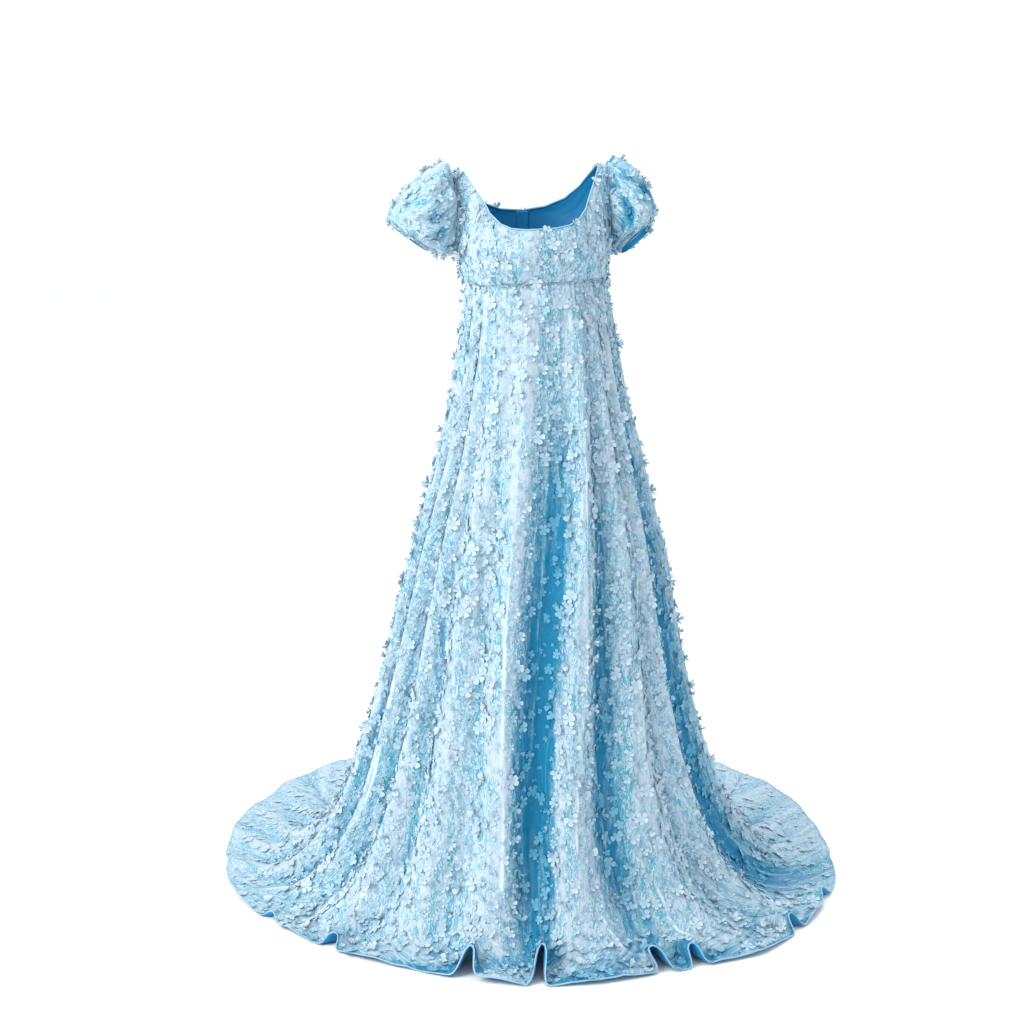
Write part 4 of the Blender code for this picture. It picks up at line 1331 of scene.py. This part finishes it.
def cord_object(name, path, radius, finish):
    """A round cord along a path."""
    curve = bpy.data.curves.new(name, "CURVE")
    curve.dimensions = "3D"
    curve.bevel_depth = radius
    curve.bevel_resolution = 1
    curve.use_fill_caps = True
    spline = curve.splines.new("POLY")
    spline.points.add(len(path) - 1)
    spline.points.foreach_set("co", np.column_stack((path, np.ones(len(path)))).ravel())
    tube = linked(name + "_path", curve)
    data = baked(tube)
    bpy.data.objects.remove(tube)
    data.name = name
    data.shade_smooth()
    data.materials.clear()
    data.materials.append(finish_of(finish))
    return linked(name, data)


# ---------------------------------------------------------------- flowers
# A petal's outline, as shares of its reach and of the angle between petals.
PETAL = ((0.72, -0.40), (0.98, -0.24), (0.97, 0.01), (1.00, 0.25), (0.74, 0.41))
BUD_PETAL = ((0.80, -0.36), (1.00, 0.02), (0.78, 0.37))
BLOOM_COLUMNS = "name outline petals rise_deg uneven_deg reach_spread"
BLOOMS = make_table(
    BLOOM_COLUMNS,
    ("bloom_1_open", PETAL, 5, 10.0, 12.0, 0.16),
    ("bloom_2_cupped", PETAL, 5, 26.0, 16.0, 0.20),
    ("bloom_3_ruffled", PETAL, 5, 24.0, 34.0, 0.34),
    ("bloom_4_flat", PETAL, 5, 4.0, 14.0, 0.26),
    ("bloom_5_raised", PETAL, 4, 34.0, 34.0, 0.34),
    ("bloom_6_folded", PETAL, 4, 50.0, 44.0, 0.40),
)
BUDS = make_table(
    BLOOM_COLUMNS,
    ("bud_1_open", BUD_PETAL, 4, 14.0, 14.0, 0.15),
    ("bud_2_raised", BUD_PETAL, 4, 38.0, 26.0, 0.20),
    ("bud_3_pair", BUD_PETAL, 3, 24.0, 22.0, 0.25),
)
BLOOM_SEED = 40
# Sizes of a flower, as shares of its radius.
PETAL_THICKNESS = 0.05
HEART_TOP, HEART_MIDDLE, HEART_BOTTOM = 0.16, 0.12, 0.08
NOTCH_OUT, NOTCH_HEIGHT = 0.26, 0.15
RIB_OUT, RIB_LIFT = 0.60, -0.06
# How pale each part is painted, as a painted shade: 0 at the heart and 1 at the petals'
# edges, with the undersides half in shade.
NOTCH_REACH, RIB_REACH, UNDER_REACH = 0.2, 0.55, 0.5


def bloom_mesh(bloom, seed):
    """A flower of radius 1: thin petals joined at its heart, closed above and below."""
    chance = np.random.default_rng(seed)
    step = 2 * math.pi / bloom.petals
    heart = Vector((0.0, 0.0, HEART_MIDDLE))
    spots = [Vector((0.0, 0.0, HEART_TOP)), Vector((0.0, 0.0, HEART_BOTTOM))]
    painted_petal_light, faces, outline = [0.0, 0.0], [], []
    for petal in range(bloom.petals):
        rise = math.radians(bloom.rise_deg + chance.uniform(-1, 1) * bloom.uneven_deg)
        reach = 1.0 - chance.uniform(0.0, bloom.reach_spread)
        turn = petal * step + chance.uniform(-0.10, 0.10) * step

        def spot(out, aside, lift=0.0):
            angle = turn + aside * step
            up = math.sin(rise) * out ** 1.3 + lift
            flat = math.cos(rise) * out
            place = Vector((flat * math.cos(angle), flat * math.sin(angle), up))
            return place * reach + heart

        notch_angle = (petal - 0.5) * step
        notch = Vector((NOTCH_OUT * math.cos(notch_angle),
                        NOTCH_OUT * math.sin(notch_angle), NOTCH_HEIGHT))
        edge = [spot(out, aside, chance.uniform(-0.06, 0.08))
                for out, aside in bloom.outline]
        rib = spot(RIB_OUT, chance.uniform(-0.05, 0.05), RIB_LIFT)
        start = len(spots)
        spots += [notch, *edge, rib]
        painted_petal_light += [NOTCH_REACH] + [1.0] * len(edge) + [RIB_REACH]
        outline.append((start, start + len(edge) + 1))
    for index, (start, rib) in enumerate(outline):
        after = outline[(index + 1) % bloom.petals][0]
        ring = list(range(start, rib)) + [after]
        faces += [(rib, a, b) for a, b in zip(ring, ring[1:])]
        faces += [(0, start, rib), (0, rib, after)]
        low = len(spots)
        spots.append(spots[rib] - Vector((0.0, 0.0, PETAL_THICKNESS)))
        painted_petal_light.append(UNDER_REACH)
        faces += [(low, b, a) for a, b in zip(ring, ring[1:])]
        faces += [(1, low, start), (1, after, low)]
    data = bpy.data.meshes.new(bloom.name)
    data.from_pydata([tuple(spot) for spot in spots], [], faces)
    # reach carries the painted shade of each flower, darkest at its heart.
    store(data, "reach", painted_petal_light)
    data.shade_smooth()
    rims = {index for start, rib in outline for index in range(start, rib)}
    for edge in data.edges:
        edge.use_edge_sharp = set(edge.vertices) <= rims
    return data


def bloom_collection():
    """The kinds of flower that are scattered, outside the scene."""
    held = bpy.data.collections.new("blooms")
    for seed, bloom in enumerate(BLOOMS + BUDS, BLOOM_SEED):
        held.objects.link(bpy.data.objects.new(bloom.name, bloom_mesh(bloom, seed)))
    return held


def scatter_tree():
    """Flowers scattered over a cloth, each turned, tipped and sized by chance."""
    tree = Maker("flower_scatter", Spacing="Float", Radius="Float", Seed="Int",
                 Flowers="Collection", First="Int", Last="Int")
    given = tree.given.other
    share = tree.node("GeometryNodeInputNamedAttribute", {"data_type": "FLOAT"},
                      {"Name": "density"})
    spread = tree.node("GeometryNodeDistributePointsOnFaces",
                       {"distribute_method": "POISSON"},
                       {"Mesh": given("Geometry"), "Distance Min": given("Spacing"),
                        "Density Max": MOST_FLOWERS, "Density Factor": share,
                        "Seed": given("Seed")}, output="Points")
    toned = tree.node("GeometryNodeStoreNamedAttribute",
                      {"data_type": "FLOAT", "domain": "POINT"},
                      {"Geometry": spread, "Name": "tone",
                       "Value": tree.chance("FLOAT", 0.0, 1.0)})
    lean = tree.chance("FLOAT_VECTOR", (-FLOWER_LEAN, -FLOWER_LEAN, 0.0),
                       (FLOWER_LEAN, FLOWER_LEAN, 2 * math.pi))
    lean = tree.scaled(lean, tree.vector(share, share, 1.0))
    lean = tree.node("FunctionNodeEulerToRotation", None, {"Euler": lean})
    turned = tree.node("FunctionNodeRotateRotation", {"rotation_space": "LOCAL"},
                       {"Rotation": spread.other("Rotation"), "Rotate By": lean})
    small, large = (given("Radius") * factor for factor in FLOWER_FACTORS)
    size = tree.chance("FLOAT", small, large)
    source = tree.node("GeometryNodeCollectionInfo", {"transform_space": "ORIGINAL"},
                       {"Collection": given("Flowers"), "Separate Children": True,
                        "Reset Children": True})
    tree.finish(toned, source, turned, tree.vector(size, size, size * share),
                **{"Pick Instance": True,
                   "Instance Index": tree.chance("INT", given("First"), given("Last"))})
    return tree


def stitch_tree():
    """Stitches along a path."""
    tree = Maker("stitch_row", Length="Float", Pitch="Float", Thread="Float")
    given = tree.given.other
    line = tree.node("GeometryNodeMeshToCurve", None, {"Mesh": given("Geometry")})
    spots = tree.node("GeometryNodeCurveToPoints", {"mode": "LENGTH"},
                      {"Curve": line, "Length": given("Pitch")}, output="Points")
    bead = tree.node("GeometryNodeMeshUVSphere", None,
                     {"Segments": 6, "Rings": 4, "Radius": 0.5})
    tree.finish(spots, bead, spots.other("Rotation"),
                tree.vector(given("Thread"), given("Thread"), given("Length")))
    return tree


# ---------------------------------------------------------------- gown parts
SCATTERED = []               # (name, cloth mesh, spacing factor, seed)


def build_skirt(sizes):
    """The five gores."""
    for gore in GORES:
        hem_deg, hoop = gore_grid(gore.start_deg, gore.end_deg, (0.0, LAST_HOOP),
                                  sizes.crease)
        points = skirt_surface(hem_deg, hoop, sizes.crease)
        silk = satin_rolls(hem_deg, hoop)
        low = low_down(hoop)
        lying = low * round_at(LYING, hem_deg)
        bare = noise(hem_deg / 7.0 + hoop, hoop * 0.9, BARE_HEM_SEED)
        bare = ease((bare + 0.05) / 0.30) * (low ** 1.5) * (1 - lying)
        # fold is the painted light share: painted shade deep in the folds, lowered in the
        # bare satin patches to carry their own deeper colour, and painted light where the
        # train's cloth is spread.
        fold = open_share(hem_deg, hoop, sizes.crease) * (1 - BARE_HEM_SHADE * bare)
        fold = mix(fold, 1.0, SPREAD_LIGHT * (low ** 2 * round_at(SPREAD, hem_deg)))
        density = (1 - LYING_BARENESS * lying) * (1 - ease(silk * ROLL_CLEARING))
        density = density * mix(DEEP_FLOWERS, 1.0, ease(fold * 1.6))
        density = density * mix(SEAM_FLOWERS, 1.0, ease(hoop * 6))
        sew(gore.name, points, DRESS, sizes.cloth, gore.node, "gathered",
            ["bodice_centre"], 1.0, fold=fold, silk=silk, density=density)


def build_facings(sizes):
    """Plain satin inside the hem and behind the back opening."""
    inwards = sizes.cloth + SEAM_GAP
    for gore in GORES:
        if gore.facing:
            hem_deg, hoop = gore_grid(gore.start_deg, gore.end_deg, FACING_HOOPS,
                                      sizes.crease)
            points = skirt_surface(hem_deg, hoop, sizes.crease)
            points = points - outward_normals(points)[0] * inwards
            sew(gore.facing.replace("hem_", "") + "_strip", points, SATIN, sizes.facing,
                gore.facing, "stretched", [gore.name])
    points = placket_grid(sizes.crease)
    points = points - outward_normals(points)[0] * inwards
    sew("placket_strip", points, SATIN, sizes.facing, "back_placket", "stretched",
        ["back_panel_left"])


def placket_grid(crease):
    """Points over the centre-back opening, from the neck into the skirt."""
    half = math.degrees(math.asin(PLACKET_HALF_WIDTH / TRUNK[0].half_width))
    across_count, upper_count, skirt_count = PLACKET_POINTS
    across = np.linspace(-half, half, across_count)
    heights = np.linspace(NECKLINE[-1].height, WAIST_HEIGHT, upper_count)
    upper = trunk(*np.meshgrid(180.0 - across, heights))
    hem_deg = wrapped(180.0 - across / half * (180.0 - PLACKET_HEM_DEG))
    hoops = np.linspace(PLACKET_START_HOOP, PLACKET_SKIRT_HOOPS, skirt_count)
    lower = skirt_surface(*np.meshgrid(hem_deg, hoops), crease)
    return np.concatenate((upper, lower))


def build_bodice(sizes):
    """The five bodice panels."""
    panels = [("bodice_centre", centre_panel(*CENTRE_POINTS), "bodice_front_centre",
               *CENTRE_RIBS)]
    for side in SIDES:
        panels.append(("side_panel_" + side, side_panel(side, False, *SIDE_POINTS),
                       "bodice_front_side_" + side, *SIDE_RIBS))
        panels.append(("back_panel_" + side, side_panel(side, True, *BACK_POINTS),
                       "bodice_back_" + side, *BACK_RIBS))
    for name, points, node, ribs, seed in panels:
        creases = panel_creases(points, seed, ribs)
        points = points + outward_normals(points)[0] * (creases * sizes.crease)[..., None]
        # fold: painted shade in the panel's small creases and along its sunk edges.
        sew(name, points, DRESS, sizes.cloth, node, "stretched",
            ["sleeve_puff_right", "sleeve_puff_left"], 0.9, fold=0.80 + 0.20 * creases)


def build_sleeves(sizes):
    """Both puff sleeves with their elastic cuffs."""
    for side in SIDES:
        puff = "sleeve_puff_" + side
        points, fold = sleeve_puff(side, *SLEEVE_POINTS, sizes.crease)
        density = np.ones(len(points))
        density[:ROOT_ROWS] = np.linspace(0.3, 1.0, ROOT_ROWS)
        sew(puff, points, DRESS, sizes.cloth, "sleeve_" + side, "gathered",
            ["side_panel_" + side], 0.86, closed=True, fold=fold,
            density=density[:, None])
        # fold 0.7: the cuff is painted evenly in part shade.
        sew("cuff_band_" + side, cuff_band(side, CUFF_RIBS * 6), DRESS, sizes.cloth,
            "cuff_" + side, "gathered", [puff], closed=True, fold=0.7)


def neck_path(between=60):
    """The neck's edge, from the centre back round the left, the front and the right."""
    row_count = between * (len(BACK) - 1) + 1
    halves = {}
    for side in SIDES:
        back, front = (side_panel(side, at_back, 3, row_count)[PRINCESS_ROWS * between:, 0]
                       for at_back in (True, False))
        halves[side] = np.concatenate((back, front[::-1]))
    front = centre_panel(2 * between + 1, 3)[-1]
    path = np.concatenate((halves["left"], front[::-1], halves["right"][::-1]))
    apart = np.linalg.norm(np.diff(path, axis=0), axis=1) > 1e-5
    path = path[np.concatenate(([True], apart))]
    order = np.arange(len(path))
    return at_stops(evenly(order, path, NECK_STEP), order, path)


def build_edges(sizes):
    """Turned edges at hem and neck, and the raised waist and armhole seams."""
    hem_deg = np.linspace(-179.9, 179.9, 1100)
    hem = skirt_surface(hem_deg, np.full_like(hem_deg, LAST_HOOP), sizes.crease)
    hem[:, 2] -= sizes.cloth / 2
    around = np.linspace(-179.6, 179.6, 300)
    waist = skirt_surface(around, np.full_like(around, WAIST_SEAM_HOOP), sizes.crease)
    cords = [("hem_edge", hem, sizes.edge), ("neck_edge", neck_path(), sizes.edge),
             ("waist_seam", waist, sizes.seam_cord)]
    for side in SIDES:
        ring = armhole_ring(side, np.linspace(0.0, 1.0, 140, endpoint=False))
        cords.append(("armhole_seam_" + side, np.concatenate((ring, ring[:1])),
                      sizes.armhole_roll))
    for name, path, radius in cords:
        hand_in(cord_object(name, path, radius, "edge"))
    build_stitches(sizes)


def build_stitches(sizes):
    """A row of small stitches below the neck's edge."""
    path = neck_path()
    outwards = unit((path - path.mean(axis=0)) * (1.0, 1.0, 0.0))
    path = path + outwards * STITCHES_OUT - np.array((0.0, 0.0, STITCHES_BELOW))
    data = bpy.data.meshes.new("neck_stitches")
    data.from_pydata(path.tolist(), [(i, i + 1) for i in range(len(path) - 1)], [])
    piece = stitch_tree().run("neck_stitches", data, Length=sizes.stitch,
                              Pitch=sizes.stitch * STITCH_PITCH, Thread=sizes.thread,
                              Finish=finish_of("edge"))
    hand_in(piece)


def build_flowers(sizes):
    """Flowers over all the dress fabric, full ones and small ones between them."""
    held = bloom_collection()
    tree = scatter_tree()
    first_bud = len(BLOOMS)
    last_bud = first_bud + len(BUDS) - 1
    layers = (("", sizes.flower, sizes.flower_spacing, 0, 0, first_bud - 1),
              ("_small", sizes.bud, sizes.bud_spacing, 5, first_bud, last_bud))
    for name, cloth, closeness, seed in SCATTERED:
        for suffix, radius, spacing, step, first, last in layers:
            piece = tree.run(name + suffix, cloth.copy(), Spacing=spacing * closeness,
                             Radius=radius * closeness, Seed=seed + step, Flowers=held,
                             First=first, Last=last, Finish=finish_of("petal"))
            hand_in(piece)
        bpy.data.meshes.remove(cloth)
    SCATTERED.clear()
    for bloom in list(held.objects):
        bpy.data.objects.remove(bloom)
    bpy.data.collections.remove(held)


# ---------------------------------------------------------------- stage
FLOOR_SIZE = 60.0
CAMERA_HEIGHT = 1.50
CAMERA_PLACE = (-0.0378, -4.0)
CAMERA_TILT_DEG = 9.33
CAMERA_LENS = 66.98
CAMERA_SENSOR = 36.0
WARM, COOL = (1.0, 0.92, 0.83), (0.93, 0.97, 1.0)
SKY_COLOUR, SKY_STRENGTH = (1.0, 1.08, 1.12, 1.0), 1.01
LIGHT_AIM = (0.0, 0.1, -0.7)
LIGHTS = make_table(
    "name place size power tint",
    ("key_light", (-3.4, -2.7, 1.8), 3.2, 242.0, WARM),
    ("fill_light", (3.0, -3.0, 0.6), 2.6, 1.0, COOL),
    ("top_light", (0.2, 0.4, 2.6), 2.4, 58.0, COOL),
    ("back_light", (0.8, 4.2, 1.4), 2.6, 24.0, COOL),
)


def build_stage():
    """Floor, soft light and the camera."""
    scene = bpy.context.scene
    bpy.ops.mesh.primitive_plane_add(size=FLOOR_SIZE,
                                     location=(0.0, 0.0, -SHOULDER_HEIGHT))
    floor = bpy.context.object
    floor.name = "studio_floor"
    floor.data.materials.append(finish_of("floor"))
    for light in LIGHTS:
        data = bpy.data.lights.new(light.name, "AREA")
        data.shape = "DISK"
        data.size = light.size
        data.energy = light.power
        data.color = light.tint
        lamp = linked(light.name, data)
        lamp.location = light.place
        aim = Vector(LIGHT_AIM) - Vector(light.place)
        lamp.rotation_euler = aim.to_track_quat("-Z", "Y").to_euler()
    world = bpy.data.worlds.new("studio_light")
    world.use_nodes = True
    sky = world.node_tree.nodes["Background"]
    sky.inputs["Color"].default_value = SKY_COLOUR
    sky.inputs["Strength"].default_value = SKY_STRENGTH
    scene.world = world
    scene.view_settings.view_transform = "Standard"
    data = bpy.data.cameras.new("camera")
    data.lens = CAMERA_LENS
    data.sensor_width = CAMERA_SENSOR
    camera = linked("camera", data)
    camera.location = (*CAMERA_PLACE, CAMERA_HEIGHT - SHOULDER_HEIGHT)
    camera.rotation_euler = (math.radians(90.0 - CAMERA_TILT_DEG), 0.0, 0.0)
    scene.camera = camera


# ---------------------------------------------------------------- operators and panel
class GOWN_OT_skirt(bpy.types.Operator):
    """Build the five gores of the skirt with its train"""

    bl_idname = "gown.skirt"
    bl_label = "Skirt"

    def execute(self, context):
        build_skirt(context.scene.gown_sizes)
        return {"FINISHED"}


class GOWN_OT_facings(bpy.types.Operator):
    """Build the plain satin inside the hem and behind the back opening"""

    bl_idname = "gown.facings"
    bl_label = "Facings"

    def execute(self, context):
        build_facings(context.scene.gown_sizes)
        return {"FINISHED"}


class GOWN_OT_bodice(bpy.types.Operator):
    """Build the five panels of the bodice"""

    bl_idname = "gown.bodice"
    bl_label = "Bodice"

    def execute(self, context):
        build_bodice(context.scene.gown_sizes)
        return {"FINISHED"}


class GOWN_OT_sleeves(bpy.types.Operator):
    """Build the puff sleeves and their cuffs"""

    bl_idname = "gown.sleeves"
    bl_label = "Sleeves"

    def execute(self, context):
        build_sleeves(context.scene.gown_sizes)
        return {"FINISHED"}


class GOWN_OT_edges(bpy.types.Operator):
    """Build the turned edges, raised seams and stitches"""

    bl_idname = "gown.edges"
    bl_label = "Edges and seams"

    def execute(self, context):
        build_edges(context.scene.gown_sizes)
        return {"FINISHED"}


class GOWN_OT_flowers(bpy.types.Operator):
    """Scatter the flowers over the dress fabric"""

    bl_idname = "gown.flowers"
    bl_label = "Flowers"

    def execute(self, context):
        build_flowers(context.scene.gown_sizes)
        return {"FINISHED"}


class GOWN_OT_stage(bpy.types.Operator):
    """Build the floor, the soft light and the camera"""

    bl_idname = "gown.stage"
    bl_label = "Stage"

    def execute(self, context):
        build_stage()
        return {"FINISHED"}


class GOWN_PT_panel(bpy.types.Panel):
    """The gown's pieces, sizes and colours"""

    bl_idname = "GOWN_PT_panel"
    bl_label = "Regency gown"
    bl_space_type = "VIEW_3D"
    bl_region_type = "UI"
    bl_category = "Gown"

    def draw(self, context):
        for operator in OPERATORS:
            self.layout.operator(operator.bl_idname)
        for group in (context.scene.gown_sizes, context.scene.gown_colours):
            for name in group.__annotations__:
                self.layout.prop(group, name)


OPERATORS = (GOWN_OT_stage, GOWN_OT_skirt, GOWN_OT_facings, GOWN_OT_bodice,
             GOWN_OT_sleeves, GOWN_OT_edges, GOWN_OT_flowers)
CLASSES = (GownSizes, GownColours) + OPERATORS + (GOWN_PT_panel,)


def register():
    """Add the gown's classes and settings."""
    for made in CLASSES:
        bpy.utils.register_class(made)
    bpy.types.Scene.gown_sizes = bpy.props.PointerProperty(type=GownSizes)
    bpy.types.Scene.gown_colours = bpy.props.PointerProperty(type=GownColours)


def unregister():
    """Remove them again."""
    del bpy.types.Scene.gown_sizes
    del bpy.types.Scene.gown_colours
    for made in reversed(CLASSES):
        bpy.utils.unregister_class(made)


def main():
    """Build everything."""
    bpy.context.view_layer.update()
    register()
    for step in ("stage", "skirt", "facings", "bodice", "sleeves", "edges", "flowers"):
        getattr(bpy.ops.gown, step)()


if __name__ == "__main__":
    main()
